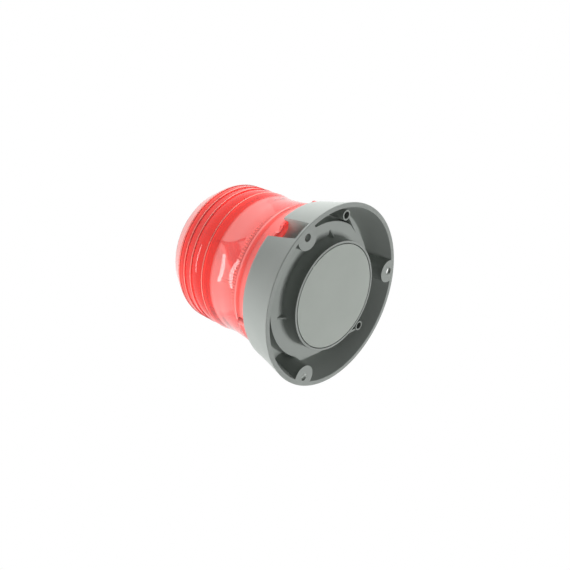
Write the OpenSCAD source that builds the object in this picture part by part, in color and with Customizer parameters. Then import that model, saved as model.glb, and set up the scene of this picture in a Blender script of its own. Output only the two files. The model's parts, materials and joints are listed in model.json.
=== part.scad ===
// Compact rotating beacon light, three-bolt base with a ribbed red lens.
// Origin at the centre of the mounting rim, +Z up through the lens.

/* [Base housing] */
// Radius of the mounting rim
rim_r = 65; // [63:0.5:75]
// Height of the skirt
skirt_h = 28.6; // [27.6:0.1:32]
// Wall of the skirt, measured level
skirt_wall = 3.4; // [2.8:0.1:4]
// How far the skirt bows in between rim and lip
skirt_bow = 0.35; // [0:0.05:0.8]
// Wall of the lip round the lens flange
lip_wall = 2.0; // [1.6:0.1:2.8]
// Rounding of the lip's outer edge
lip_round = 1.4; // [0.4:0.1:1.5]
// Rounding of the rim's outer edge
rim_round = 0.7; // [0.3:0.1:1.5]
// Height of the deck that the lens stands on
deck_z = 24.7; // [23:0.1:25]
// Thickness of the deck
deck_t = 3.0; // [2:0.1:4]
// Outer radius of the step cylinder
step_r = 49; // [48.6:0.1:49.2]
// How much the step cylinder's radius grows up to the deck
step_draft = 0.8; // [0.2:0.1:1]
// Wall of the step cylinder
step_wall = 2.0; // [1.8:0.1:2.4]
// Height of the step's underside above the rim
step_z = 12.4; // [10:0.1:13]
// Thickness of the step floor
floor_t = 2.5; // [2:0.1:3]
// Fillet between cup and step
step_fillet = 1.2; // [0.4:0.1:2]
// Outer radius of the cup
cup_r = 39; // [38:0.1:39.6]
// Wall of the cup
cup_wall = 1.6; // [1.2:0.1:2.2]
// Number of gussets between cup and step floor
gussets = 3; // [3:1:3]
// First gusset's angle
gusset_a = 106; // [96:1:116]

/* [Mounting] */
// Radius of the mounting bolt circle
bolt_r = 58.5; // [58:0.1:59]
// Radius of a mounting hole
bolt_hole_r = 2.65; // [2.2:0.05:3.3]
// Thickness of a mounting pad
pad_t = 2.2; // [1.8:0.1:3.2]
// Radius of a screw pocket at the pad
pocket_r = 6.9; // [6:0.1:7.4]
// How much a screw pocket's radius grows up to the deck
pocket_draft = 1.3; // [0.5:0.1:1.5]
// Radius of the notch in the lens flange over a mounting screw
notch_r = 4.1; // [3:0.1:4.1]
// Wall of a screw pocket
pocket_wall = 1.6; // [1.2:0.1:1.8]
// First mounting hole's angle
bolt_a = 60; // [55:1:65]

/* [Lens screws] */
// Radius of the lens screw circle
tube_at = 54.3; // [54.1:0.1:54.6]
// Outer radius of a screw tube
tube_r = 3.6; // [3.4:0.1:3.8]
// Bore radius of a screw tube
tube_bore_r = 2.55; // [2.4:0.05:2.7]
// Height of a tube's face above the rim
tube_z = 7.2; // [6:0.1:9]
// Height of the short tube's face above the rim
tube_short_z = 12.8; // [12:0.1:13.6]
// Height of the seat under the screw heads
tube_seat_z = 17; // [15:0.1:18.5]
// First lens screw's angle
tube_a = 107; // [104:1:110]
// Wall of the web between a screw tube and the step
web_t = 1.6; // [1.2:0.1:2]
// Shank radius of a lens screw
lens_screw_r = 1.3; // [1.2:0.05:1.5]
// Length of a lens screw's shank
lens_screw_l = 15; // [14:0.5:17]

/* [Bottom cover] */
// Gap between the cover and the cup
cover_gap = 0.55; // [0.3:0.05:0.8]
// Thickness of the cover disc
cover_t = 2.6; // [2:0.1:3]
// Width of the key across the gap
key_w = 1.6; // [1:0.1:2.5]
// Width of the ledge inside the cup
ledge_w = 2.4; // [2:0.1:3]
// Thickness of the ledge
ledge_t = 2.0; // [1.5:0.1:2.5]
// Thickness of the squeezed cover seal
seal_t = 1.0; // [0.6:0.1:1.4]

/* [Lens] */
// Outer radius of the lens flange
flange_r = 56.2; // [56:0.1:56.6]
// Width of the lens flange inwards
flange_w = 9.2; // [8.6:0.1:9.4]
// Thickness of the lens flange
flange_t = 2.5; // [2:0.1:3]
// Thickness of the squeezed lens gasket
gasket_t = 0.8; // [0.6:0.1:1.2]
// Clearance between the lens flange and the lip
flange_fit = 0.3; // [0.2:0.05:0.5]
// Outer radius of the lens foot
foot_r = 54.3; // [54.1:0.1:54.6]
// Outer radius of the lens waist
waist_r = 52.1; // [51.6:0.1:52.4]
// Outer radius of the lens rings
ring_r = 53.3; // [53:0.1:53.8]
// Wall of the lens
lens_wall = 2.0; // [1.6:0.1:2.2]
// Height of the foot's upper edge
foot_z = 39.5; // [38:0.5:41]
// Height where the waist begins
waist_z = 55; // [53:0.5:57]
// Height where the rings begin
ring_z = 68.3; // [66:0.1:70]
// Height of the middle of the ring zone, level with the filament
focus_z = 82.5; // [82:0.1:83.5]
// Height of the middle ring
ring_mid_h = 11.7; // [11:0.1:12.4]
// Height of the first ring above the middle one
ring_up_h = 6.8; // [6:0.1:7.4]
// Height of the last ring, at the corner
ring_top_h = 5.6; // [5:0.1:6]
// Depth of the groove between two rings
ring_depth = 0.7; // [0.3:0.05:0.9]
// Height of the step between two rings
ring_riser = 0.8; // [0.4:0.1:1.4]
// Rounding above the last ring
corner_round = 5; // [4:0.5:6]
// Height of the sloping shoulder
shoulder_h = 12.4; // [11.4:0.2:13]
// Slope of the shoulder from upright
shoulder_a = 28; // [24:1:30]
// Rounding between shoulder and crown
crown_round = 6; // [5:0.5:8]
// Height of the crown over its edge
crown_h = 1.2; // [0.6:0.1:2]
// Height of a screw boss on the lens
boss_h = 12; // [11:0.5:14]
// Radius of a screw boss on the lens
boss_r = 2.9; // [2.6:0.1:3]

/* [Chassis] */
// Height of the bosses under the chassis plate
boss_up = 4; // [3:0.5:5]
// Radius of a chassis boss
chassis_boss_r = 3.2; // [2.8:0.1:3.4]
// Thickness of the chassis plate
chassis_t = 1.5; // [1:0.1:2]
// Gap round the chassis plate
chassis_gap = 0.8; // [0.5:0.1:1]
// Radius of the chassis screw circle
chassis_screw_at = 42; // [41.5:0.1:42.2]
// Outer radius of the cable grommet
grommet_r = 2.9; // [2.6:0.1:3]
// Bore radius of the cable grommet
grommet_bore_r = 1.9; // [1.6:0.1:2]

/* [Bearing post] */
// Outer radius of the bearing post
post_r = 12; // [11.5:0.1:12.5]
// Radius of the post's foot
post_foot_r = 16.4; // [16:0.1:16.6]
// Thickness of the post's foot
post_foot_t = 2.5; // [2:0.1:3]
// Radius of the shoulder under the rotor
post_shoulder_r = 14; // [13.6:0.1:14.4]
// Height of the shoulder under the rotor
post_shoulder_z = 42; // [41.4:0.1:42.2]
// Height of the post's end
post_top_z = 53.4; // [53:0.1:54]

/* [Lamp] */
// Outer radius of the lamp holder shell
holder_r = 9.1; // [8.9:0.05:9.4]
// Wall of the lamp holder shell
holder_wall = 1.2; // [1:0.05:1.3]
// Length of the lamp holder shell
holder_l = 21; // [19:0.5:23]
// Radius of the bulb cap
cap_r = 7.6; // [7.4:0.05:7.7]
// Length of the bulb cap
cap_l = 15; // [13:0.5:16]
// Height of the bulb's pins over the cap's end
pin_h = 7; // [6:0.5:8]
// Distance from the pins to the filament
light_centre_l = 31.8; // [31:0.1:32.5]
// Largest radius of the bulb glass
bulb_r = 12.6; // [11.5:0.1:13]
// Wall of the bulb glass
bulb_wall = 0.8; // [0.6:0.1:1.2]
// Travel of the spring contact
contact_travel = 1.5; // [0.5:0.5:1.5]

/* [Drive] */
// Module of the gears
gear_m = 0.8; // [0.78:0.01:0.82]
// Teeth of the rotor gear
rotor_teeth = 70; // [70:1:70]
// Teeth of the idler's pinion
idler_pinion_teeth = 12; // [12:1:12]
// Teeth of the idler's wheel
idler_wheel_teeth = 30; // [30:1:30]
// Teeth of the motor pinion
motor_teeth = 10; // [10:1:10]
// Extra centre distance for backlash
gear_play = 0.12; // [0.08:0.02:0.2]
// Angle of the idler round the lamp
idler_a = 20; // [10:5:30]
// Width of the rotor gear's teeth
rotor_gear_w = 4.2; // [3.8:0.1:4.4]
// Width of the idler wheel's teeth
idler_wheel_w = 3; // [2.4:0.1:3]
// Radius of the motor
motor_r = 12; // [11.6:0.1:12]
// Length of the motor can
motor_l = 12.4; // [11:0.1:13]
// Radius of the motor shaft
shaft_r = 1.0; // [0.9:0.1:1.2]
// Radius of the idler pin
idler_pin_r = 1.5; // [1.3:0.1:1.7]
// Height of the gear plate's underside
gear_plate_z = 36; // [35.8:0.1:36.2]
// Thickness of the gear plate
gear_plate_t = 1.5; // [1.2:0.1:1.6]
// Radius of a pillar
pillar_r = 2.8; // [2.5:0.1:3]
// Wall of the shroud round the drive
shroud_t = 0.8; // [0.7:0.1:1]

/* [Rotor] */
// Outer radius of the turntable
turntable_r = 48.6; // [47:0.1:49]
// Thickness of the turntable
turntable_t = 1.8; // [1.6:0.1:2.2]
// Height of the turntable's rim wall
turntable_rim_h = 3.0; // [2:0.1:3.4]
// Number of fine teeth on the turntable's rim
turntable_teeth = 144; // [120:6:160]
// Depth of the fine teeth
turntable_tooth = 0.7; // [0.4:0.1:0.9]
// Radius of the rotor's hub
hub_r = 17; // [16.5:0.1:17.5]
// Running clearance of the rotor on its post
run_fit = 0.05; // [0.02:0.01:0.08]
// Wall of the rotor bush
bush_wall = 1.2; // [1:0.1:1.4]
// Focal length of the mirror
mirror_f = 16; // [15.5:0.1:17]
// Half width of the mirror
mirror_half_w = 38; // [34:0.5:39]
// Half height of the mirror
mirror_half_h = 23.5; // [21:0.5:24]
// Thickness of the mirror shell
mirror_t = 1.2; // [1:0.1:1.5]
// Direction that the mirror faces at rest
mirror_a = 0; // [0:15:345]

/* [Hidden] */
$fn = 64;
// A fit so close that the two faces count as touching, and a gap that just clears
tiny = 0.01;
small_gap = 0.1;

// Base heights and radii that follow from the sizes above
bolts = 3;
lip_in_r = flange_r + flange_fit;
lip_out_r = lip_in_r + lip_wall;
step_in_r = step_r - step_wall;
floor_top = step_z + floor_t;
step_mid_r = step_r + step_draft * floor_t / (deck_z - deck_t - step_z);
cup_in_r = cup_r - cup_wall;
split_a = bolt_a - 25;
ledge_in_r = cup_in_r - ledge_w;
cover_r = cup_in_r - cover_gap;
ledge_z = cover_t + seal_t;
skirt_steps = 8;
gusset_t = 1.2;
gusset_w = 4.4;
gusset_h = 4.2;
gusset_shift = [0, 7, -8];
key_a = 291.5;
tongue_a = 30;
tongue_w = 8;
tongue_t = 1.2;
tongue_nose = 0.9;

// Lens heights
flange_z = deck_z + gasket_t;
flange_in_r = flange_r - flange_w;
ring_low_z = focus_z - ring_mid_h / 2;
ring_high_z = focus_z + ring_mid_h / 2;
ring_last_z = ring_high_z + ring_up_h;
corner_z = ring_last_z + ring_top_h;
corner_dr = corner_round * (1 - cos(shoulder_a));
corner_dz = corner_round * sin(shoulder_a);
shoulder_r = ring_r - corner_dr;
shoulder_z = corner_z + corner_dz;
shoulder_dz = shoulder_h - corner_dz;
shoulder_end_r = shoulder_r - shoulder_dz * tan(shoulder_a);
crown_r = shoulder_end_r - crown_round * cos(shoulder_a);
crown_z = corner_z + shoulder_h + crown_round * (1 - sin(shoulder_a));
boss_bevel = 1.2;
thread_clear = 0.35;

// Chassis and drive heights
chassis_z = floor_top + boss_up;
chassis_top = chassis_z + chassis_t;
chassis_r = step_in_r - chassis_gap;
chassis_screw_a = 10;
chassis_screw_r = 1.1;
chassis_hole_r = 5;
grommet_at = (cup_r + step_fillet + step_in_r) / 2;
grommet_lip_r = min(grommet_r + 0.45, (step_in_r - cup_r - step_fillet) / 2);
grommet_lip_t = 1.2;
grommet_a = 90;
sector_half_a = 2.4 * asin(grommet_r / grommet_at);
head_h = 1.8;
slot_w = 0.6;
post_screw_at = (post_r + post_foot_r) / 2;
post_screw_a = 100;
post_screw_r = 1.2;
plate_top = gear_plate_z + gear_plate_t;
idler_wheel_z = plate_top + 1.0;
rotor_gear_z = post_shoulder_z + 0.8;
idler_at = gear_m * (rotor_teeth + idler_pinion_teeth) / 2 + gear_play;
motor_gap = gear_m * (idler_wheel_teeth + motor_teeth) / 2 + gear_play;
motor_turn = 2 * asin(motor_gap / 2 / idler_at);
motor_a = idler_a + motor_turn;
idler_xy = idler_at * [cos(idler_a), sin(idler_a)];
motor_xy = idler_at * [cos(motor_a), sin(motor_a)];
motor_line_a = atan2(motor_xy[1] - idler_xy[1], motor_xy[0] - idler_xy[0]);
motor_screw_at = 8.5;
motor_screw_r = 1.0;
motor_skin = 0.8;
motor_nose_r = 3;
motor_cap_t = 1.4;
motor_cap_z = gear_plate_z - motor_l - motor_cap_t;
shaft_fit = 0.06;
terminal_y = 6;
terminal_size = [0.7, 2, 4.6];
terminal_out = 1.2;
pin_collar_r = 2.6;
pin_top = rotor_gear_z + rotor_gear_w + 0.2;
pin_groove = 0.4;
pillar_screw_r = 1.2;
pillar_at = [[36, idler_a - 28], [36, motor_a + 36], [19.8, motor_a + 27]];
motor_screw_l = gear_plate_t + 1.9;
shroud_low_r = step_in_r - 0.2;
shroud_in_r = idler_at + gear_m * (idler_wheel_teeth / 2 + 0.8) + 0.9;
shroud_bend_z = flange_z + flange_t + 1;

// Rotor heights and radii
bush_in_r = post_r + run_fit;
bush_out_r = bush_in_r + bush_wall;
turntable_z = rotor_gear_z + rotor_gear_w + 1.2;
turntable_top = turntable_z + turntable_t;
clip_z = turntable_top + 0.3;
clip_t = 0.8;
clip_groove = 0.7;
washer_t = 0.7;
turntable_screw_at = 22;
turntable_screw_r = 0.95;

// Lamp heights
pin_z = focus_z - light_centre_l;
cap_z = pin_z - pin_h;
cap_top = cap_z + cap_l;
holder_in_r = holder_r - holder_wall;
holder_top = post_top_z - 0.6;
holder_z = holder_top - holder_l;
insulator_t = 3;
insulator_z = holder_z + 1;
contact_stem = 3;
contact_top = cap_z - 1.0;
contact_t = 2;
contact_stem_r = 1.5;
slot_r = 1.25;
cap_wall = 0.8;
cap_bevel = 0.6;

// Bulb glass: neck, swell and dome
glass_neck_r = cap_r - 1.0;
glass_z = cap_top - 5;
bulb_h = 1.31 * light_centre_l;
bulb_steps = 26;
neck = 6 / bulb_h;
swell = 0.62;

// Mirror: a dish about +X with its focus at the filament, on a bracket behind it
mirror_rim = sqrt(mirror_half_w * mirror_half_w + mirror_half_h * mirror_half_h);
mirror_steps = 14;
mirror_screw_y = 6;
mirror_screw_r = 0.95;
bracket_boss_r = 2.6;
bracket_half_w = 11;
bracket_t = 2;
bracket_back_x = -mirror_f - mirror_t - 2.6;
bracket_foot_x = -mirror_f - mirror_t - 5.4;
bracket_foot_w = 8;
foot_screw_x = (bracket_back_x - bracket_t + bracket_foot_x - bracket_foot_w / 2) / 2;
foot_screw_y = 6.6;
foot_screw_r = 1.15;
mirror_screw_l = 6.2;

// Terminal block under the chassis plate, in line with one motor terminal
block_size = [11, 22, 8.5];
block_x = -10;
pole_y = 5.5;
pole_z = chassis_z - 3.9;
block_y = motor_xy[1] - terminal_y - pole_y;
block_z = chassis_z - block_size[2];
capacitor_at = [-30, 14];

// Leads inside
lead_r = 0.8;
lead_bend = 2.5;
motor_lead = [
    [motor_xy[0], motor_xy[1] - terminal_y, motor_cap_z - terminal_out],
    [motor_xy[0], motor_xy[1] - terminal_y, pole_z],
    [block_x + 2, motor_xy[1] - terminal_y, pole_z]];
lamp_lead = [
    [block_x - 2, motor_xy[1] - terminal_y, pole_z],
    [block_x - 9, motor_xy[1] - terminal_y, pole_z],
    [block_x - 9, 0, pole_z],
    [0, 0, pole_z],
    [0, 0, insulator_z - contact_stem - contact_travel - 0.2]];
earth_lead = [
    [block_x + 2, block_y - pole_y, pole_z],
    [0, block_y - pole_y, pole_z],
    [0, block_y - pole_y, chassis_z]];

module at_polar(r, a) {
    rotate([0, 0, a]) translate([r, 0, 0]) children();
}

module ring(r_out, r_in, h) {
    difference() {
        cylinder(r = r_out, h = h);
        translate([0, 0, -1]) cylinder(r = r_in, h = h + 2);
    }
}

// A round-headed screw, point up: head below z = 0, shank above
module screw_up(shank_r, shank_l, head_r, head_t) {
    difference() {
        union() {
            translate([0, 0, -head_t]) cylinder(r = head_r, h = head_t);
            translate([0, 0, -tiny]) cylinder(r = shank_r, h = shank_l - shank_r);
            translate([0, 0, shank_l - shank_r - tiny])
                cylinder(r1 = shank_r, r2 = shank_r * 0.3, h = shank_r);
        }
        for (a = [0, 90]) rotate([0, 0, a])
            translate([-head_r * 0.65, -slot_w / 2, -head_t - 1]) cube([head_r * 1.3, slot_w, 1.8]);
    }
}

// The same screw, point down
module screw_down(shank_r, shank_l, head_r, head_t) {
    mirror([0, 0, 1]) screw_up(shank_r, shank_l, head_r, head_t);
}

// Outer radius of the skirt at a height
function skirt_r(z) = let (t = z / skirt_h)
    rim_r - (rim_r - lip_out_r) * t - 4 * skirt_bow * t * (1 - t);

// Outer outline of the skirt, from rim to lip
function skirt_outline() = let (
        top_r = skirt_r(skirt_h - lip_round),
        c_r = top_r - lip_round)
    concat(
        [for (i = [0:3]) let (a = 90 * i / 3)
            [rim_r - rim_round + rim_round * sin(a), rim_round * (1 - cos(a))]],
        [for (i = [1:skirt_steps]) let (z = rim_round + (skirt_h - lip_round - rim_round) * i / skirt_steps)
            [skirt_r(z), z]],
        [for (i = [1:4]) let (a = 90 * i / 4)
            [c_r + lip_round * cos(a), skirt_h - lip_round + lip_round * sin(a)]]);

// Inner outline of the skirt, from deck to rim
function skirt_inside() = [for (i = [skirt_steps:-1:0]) let (z = (deck_z - deck_t) * i / skirt_steps)
    [skirt_r(z) - skirt_wall, z]];

module housing_section() {
    polygon(concat(
        skirt_outline(),
        [[lip_in_r, skirt_h], [lip_in_r, deck_z], [step_in_r, deck_z], [step_in_r, floor_top],
            [step_mid_r, floor_top], [step_r + step_draft, deck_z - deck_t]],
        skirt_inside()));
}

module skirt_envelope() {
    rotate_extrude($fn = 128) polygon(concat([[0, 0]], skirt_outline(), [[0, skirt_h]]));
}

// The solid column behind one mounting pad
module pocket_column() {
    cylinder(r = pocket_r + pocket_wall, h = pad_t + tiny);
    translate([0, 0, pad_t])
        cylinder(r1 = pocket_r + pocket_wall, r2 = pocket_r + pocket_wall + pocket_draft, h = deck_z - pad_t);
}

// What is cut out of one mounting pad: the hole, the pocket and its slot through the skirt
module pocket_cut() {
    rise = skirt_h - pad_t + 1;
    reach = rim_r - bolt_r + 2;
    translate([0, 0, -1]) cylinder(r = bolt_hole_r, h = pad_t + 2);
    translate([0, 0, pad_t])
        cylinder(r1 = pocket_r, r2 = pocket_r + pocket_draft * rise / (deck_z - pad_t), h = rise);
    translate([0, 0, pad_t]) rotate([90, 0, 90]) linear_extrude(reach) polygon([
        [-pocket_r, 0], [pocket_r, 0],
        [pocket_r + pocket_draft * rise / (deck_z - pad_t), rise],
        [-pocket_r - pocket_draft * rise / (deck_z - pad_t), rise]]);
}

// The web that runs from a screw tube to the step, nearly tangent to both, with a sloping lower edge
module tube_web(face_z) {
    inset = 0.5;
    lean = asin((step_r - tube_r) / tube_at);
    run = tube_at * cos(lean);
    translate([tube_at, 0, 0]) rotate([0, 0, 90 - lean])
        translate([tube_r - inset - web_t, 0, 0]) rotate([90, 0, 90]) linear_extrude(web_t)
            polygon([[0, face_z + 1], [0, deck_z - 1], [run, deck_z - 1], [run, step_z + 0.6]]);
}

module lens_lug_place() {
    for (i = [0:bolts - 1]) at_polar(tube_at, tube_a + 120 * i) children();
}

// Height of each screw tube's face: the second tube is the short one
function tube_face(i) = i == 1 ? tube_short_z : tube_z;

// A third of the base, with one pad and one screw tube in it
module third(i) {
    reach = 1.5 * rim_r;
    rotate([0, 0, split_a + 120 * i]) translate([0, 0, -1]) linear_extrude(skirt_h + 2) polygon([[0, 0],
        [reach, 0], [reach * cos(60), reach * sin(60)], [reach * cos(120), reach * sin(120)]]);
}

// The outer storey of the one grey moulding, a third of it: skirt, deck, pad, screw tube and web
module housing_third(i) {
    face_z = tube_face(i);
    difference() {
        intersection() {
            union() {
                rotate_extrude($fn = 128) housing_section();
                intersection() {
                    skirt_envelope();
                    difference() {
                        union() {
                            at_polar(bolt_r, bolt_a + 120 * i) pocket_column();
                            at_polar(tube_at, tube_a + 120 * i) translate([0, 0, face_z])
                                cylinder(r = tube_r, h = deck_z - face_z);
                            rotate([0, 0, tube_a + 120 * i]) tube_web(face_z);
                        }
                        cylinder(r = step_mid_r + small_gap, h = floor_top);
                    }
                }
            }
            third(i);
        }
        at_polar(bolt_r, bolt_a + 120 * i) pocket_cut();
        at_polar(tube_at, tube_a + 120 * i) {
            translate([0, 0, face_z - 1]) cylinder(r = tube_bore_r, h = tube_seat_z - face_z + 1);
            translate([0, 0, tube_seat_z - 1]) cylinder(r = lens_screw_r + thread_clear, h = deck_z);
            translate([0, 0, deck_z]) cylinder(r = boss_r + flange_fit, h = skirt_h);
        }
    }
}

module housing_back() color([0.62, 0.65, 0.63]) {
    housing_third(0);
}

module housing_left() color([0.62, 0.65, 0.63]) {
    housing_third(1);
}

module housing_front() color([0.62, 0.65, 0.63]) {
    housing_third(2);
}

module floor_ring() {
    rotate_extrude($fn = 128) polygon([[cup_in_r, floor_top], [cup_in_r, step_z],
        [step_r, step_z], [step_mid_r, floor_top]]);
}

// The sector of the step floor that carries the cable grommet
module grommet_sector() {
    reach = 1.2 * step_r;
    rotate([0, 0, grommet_a]) translate([0, 0, step_z - 1]) linear_extrude(floor_t + 2)
        polygon([[0, 0], [reach * cos(sector_half_a), -reach * sin(sector_half_a)],
            [reach * cos(sector_half_a), reach * sin(sector_half_a)]]);
}

// The step floor of the same moulding, with the bosses under the chassis plate
module step_floor() color([0.61, 0.64, 0.62]) {
    difference() {
        union() {
            floor_ring();
            for (i = [0:bolts - 1]) at_polar(chassis_screw_at, chassis_screw_a + 120 * i)
                translate([0, 0, floor_top - tiny]) cylinder(r = chassis_boss_r, h = boss_up + tiny);
        }
        for (i = [0:bolts - 1]) at_polar(chassis_screw_at, chassis_screw_a + 120 * i)
            translate([0, 0, floor_top - 1]) cylinder(r = chassis_screw_r, h = boss_up + 2);
        grommet_sector();
    }
}

// The same floor on the cable's side, with the grommet's hole
module grommet_floor() color([0.61, 0.64, 0.62]) {
    difference() {
        intersection() {
            floor_ring();
            grommet_sector();
        }
        at_polar(grommet_at, grommet_a)
            translate([0, 0, step_z - 1]) cylinder(r = grommet_r, h = floor_t + 2);
    }
}

// The cup of the same moulding, with its ledge and gussets
module cup_ring() {
    rotate_extrude($fn = 128) polygon(concat(
        [[cup_in_r, step_z], [cup_in_r, ledge_z + ledge_t], [ledge_in_r, ledge_z + ledge_t],
            [ledge_in_r, ledge_z], [cup_in_r, ledge_z], [cup_in_r, 0], [cup_r, 0]],
        [for (i = [0:4]) let (a = 90 * i / 4)
            [cup_r + step_fillet * (1 - cos(a)), step_z - step_fillet * (1 - sin(a))]]));
}

module cup_shell() color([0.60, 0.63, 0.61]) {
    cup_ring();
    for (i = [0:gussets - 1]) rotate([0, 0, gusset_a + 120 * i + gusset_shift[i]])
        translate([cup_r - tiny, gusset_t / 2, step_z]) rotate([90, 0, 0]) linear_extrude(gusset_t)
            polygon([[0, 0], [0, -gusset_h], [0.8, -gusset_h], [gusset_w, 0]]);
}

module bottom_cover() color([0.64, 0.67, 0.64]) {
    // Three snap tongues reach up past the ledge
    tongue_r = ledge_in_r - 0.3;
    nose_z = ledge_z + ledge_t + 0.2;
    tip_z = nose_z + 1.4;
    cylinder(r = cover_r, h = cover_t, $fn = 128);
    for (i = [0:2]) rotate([0, 0, tongue_a + 120 * i]) intersection() {
        rotate_extrude($fn = 128) polygon([[tongue_r - tongue_t, cover_t - tiny], [tongue_r, cover_t - tiny],
            [tongue_r, nose_z], [tongue_r + tongue_nose, nose_z],
            [tongue_r, tip_z], [tongue_r - tongue_t, tip_z]]);
        translate([tongue_r - 5, -tongue_w / 2, 0]) cube([10, tongue_w, 20]);
    }
    rotate([0, 0, key_a]) translate([cover_r - 1, -key_w / 2, 0])
        cube([1 + cover_gap - small_gap, key_w, cover_t]);
}

module cover_seal() color([0.15, 0.15, 0.15]) {
    translate([0, 0, cover_t]) ring(cover_r - 0.2, ledge_in_r + 0.3, seal_t);
}

// Half outline of the lens outside, from the flange's foot to the crown's middle
function lens_outside() = concat(
    [[flange_in_r, flange_z], [flange_r, flange_z], [flange_r, flange_z + flange_t],
        [foot_r, flange_z + flange_t], [foot_r, foot_z]],
    // Hollow from the foot to the waist
    [for (i = [1:6]) let (t = i / 6, s = t * t * (3 - 2 * t))
        [foot_r - 1 - (foot_r - 1 - waist_r) * s, foot_z + 2.5 + (waist_z - foot_z - 2.5) * t]],
    [[waist_r, ring_z], [ring_r, ring_low_z]],
    // The middle ring bulges, the rings beside it slope away from it
    [for (i = [0:6]) let (t = i / 6)
        [ring_r - ring_depth + 0.75 * ring_depth * 4 * t * (1 - t),
            ring_low_z + ring_riser + (ring_mid_h - 2 * ring_riser) * t]],
    [[ring_r, ring_high_z], [ring_r - ring_depth, ring_last_z - ring_riser], [ring_r, ring_last_z],
        [ring_r - ring_depth / 2, corner_z - ring_riser], [ring_r, corner_z]],
    [for (i = [1:4]) let (a = shoulder_a * i / 4)
        [ring_r - corner_round * (1 - cos(a)), corner_z + corner_round * sin(a)]],
    [for (i = [0:6]) let (a = shoulder_a + (90 - shoulder_a) * i / 6)
        [crown_r + crown_round * cos(a), crown_z - crown_round * (1 - sin(a))]],
    [for (i = [1:5]) let (t = i / 5) [crown_r * (1 - t), crown_z + crown_h * (1 - (1 - t) * (1 - t))]]);

function lens_inside() = concat(
    [for (i = [0:5]) let (t = 1 - i / 5)
        [(crown_r - lens_wall / 2) * (1 - t), crown_z - lens_wall + crown_h * (1 - (1 - t) * (1 - t))]],
    [for (i = [6:-1:0]) let (a = shoulder_a + (90 - shoulder_a) * i / 6, q = crown_round - lens_wall)
        [crown_r + q * cos(a), crown_z - crown_round + q * sin(a)]],
    [for (i = [4:-1:0]) let (a = shoulder_a * i / 4, q = corner_round - lens_wall)
        [ring_r - corner_round + q * cos(a), corner_z + q * sin(a)]],
    [[ring_r - lens_wall, ring_low_z], [waist_r - lens_wall, ring_z - 2], [waist_r - lens_wall, waist_z],
        [foot_r - lens_wall - 1, foot_z + 2.5], [foot_r - lens_wall - 1, flange_z + flange_t],
        [flange_in_r, flange_z + flange_t]]);

module lens() color([0.93, 0.12, 0.10, 0.75]) {
    difference() {
        union() {
            rotate_extrude($fn = 128) polygon(concat(lens_outside(), lens_inside()));
            lens_lug_place() translate([0, 0, flange_z]) {
                cylinder(r = boss_r, h = boss_h - boss_bevel);
                translate([0, 0, boss_h - boss_bevel])
                    cylinder(r1 = boss_r, r2 = boss_r - 0.8, h = boss_bevel);
            }
        }
        lens_lug_place() translate([0, 0, flange_z - 1]) cylinder(r = lens_screw_r + tiny, h = boss_h - 1.5);
        for (i = [0:bolts - 1]) at_polar(bolt_r, bolt_a + 120 * i)
            translate([0, 0, flange_z - 1]) cylinder(r = notch_r, h = flange_t + 2);
    }
}

module lens_gasket() color([0.12, 0.12, 0.12]) {
    translate([0, 0, deck_z]) ring(flange_in_r + 2.6, flange_in_r + 0.4, gasket_t);
}

module lens_screws() color([0.75, 0.75, 0.77]) {
    lens_lug_place() translate([0, 0, tube_seat_z])
        screw_up(lens_screw_r, lens_screw_l, tube_bore_r - 0.15, head_h);
}

module cable_grommet() color([0.1, 0.1, 0.1]) {
    at_polar(grommet_at, grommet_a) difference() {
        union() {
            translate([0, 0, step_z - grommet_lip_t]) cylinder(r = grommet_lip_r, h = grommet_lip_t);
            translate([0, 0, step_z - tiny]) cylinder(r = grommet_r - tiny, h = floor_t + 2 * tiny);
            translate([0, 0, floor_top]) cylinder(r = grommet_lip_r, h = grommet_lip_t);
        }
        translate([0, 0, step_z - 3]) cylinder(r = grommet_bore_r, h = floor_t + 6);
    }
}

module chassis_plate() color([0.72, 0.73, 0.74]) {
    difference() {
        translate([0, 0, chassis_z]) cylinder(r = chassis_r, h = chassis_t, $fn = 128);
        translate([0, 0, chassis_z - 1]) {
            cylinder(r = chassis_hole_r, h = chassis_t + 2);
            translate([motor_xy[0], motor_xy[1] - terminal_y, 0]) cylinder(r = 2 * lead_r, h = chassis_t + 2);
            for (i = [0:bolts - 1]) at_polar(chassis_screw_at, chassis_screw_a + 120 * i)
                cylinder(r = chassis_screw_r + 0.2, h = chassis_t + 2);
            for (p = pillar_at) at_polar(p[0], p[1])
                cylinder(r = pillar_screw_r + small_gap, h = chassis_t + 2);
            for (i = [0:2]) at_polar(post_screw_at, post_screw_a + 120 * i)
                cylinder(r = post_screw_r + tiny, h = chassis_t + 2);
        }
    }
}

module chassis_screws() color([0.78, 0.76, 0.68]) {
    for (i = [0:bolts - 1]) at_polar(chassis_screw_at, chassis_screw_a + 120 * i)
        translate([0, 0, chassis_top])
            screw_down(chassis_screw_r - tiny, chassis_t + boss_up - 0.4, 2.6, head_h);
}

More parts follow.
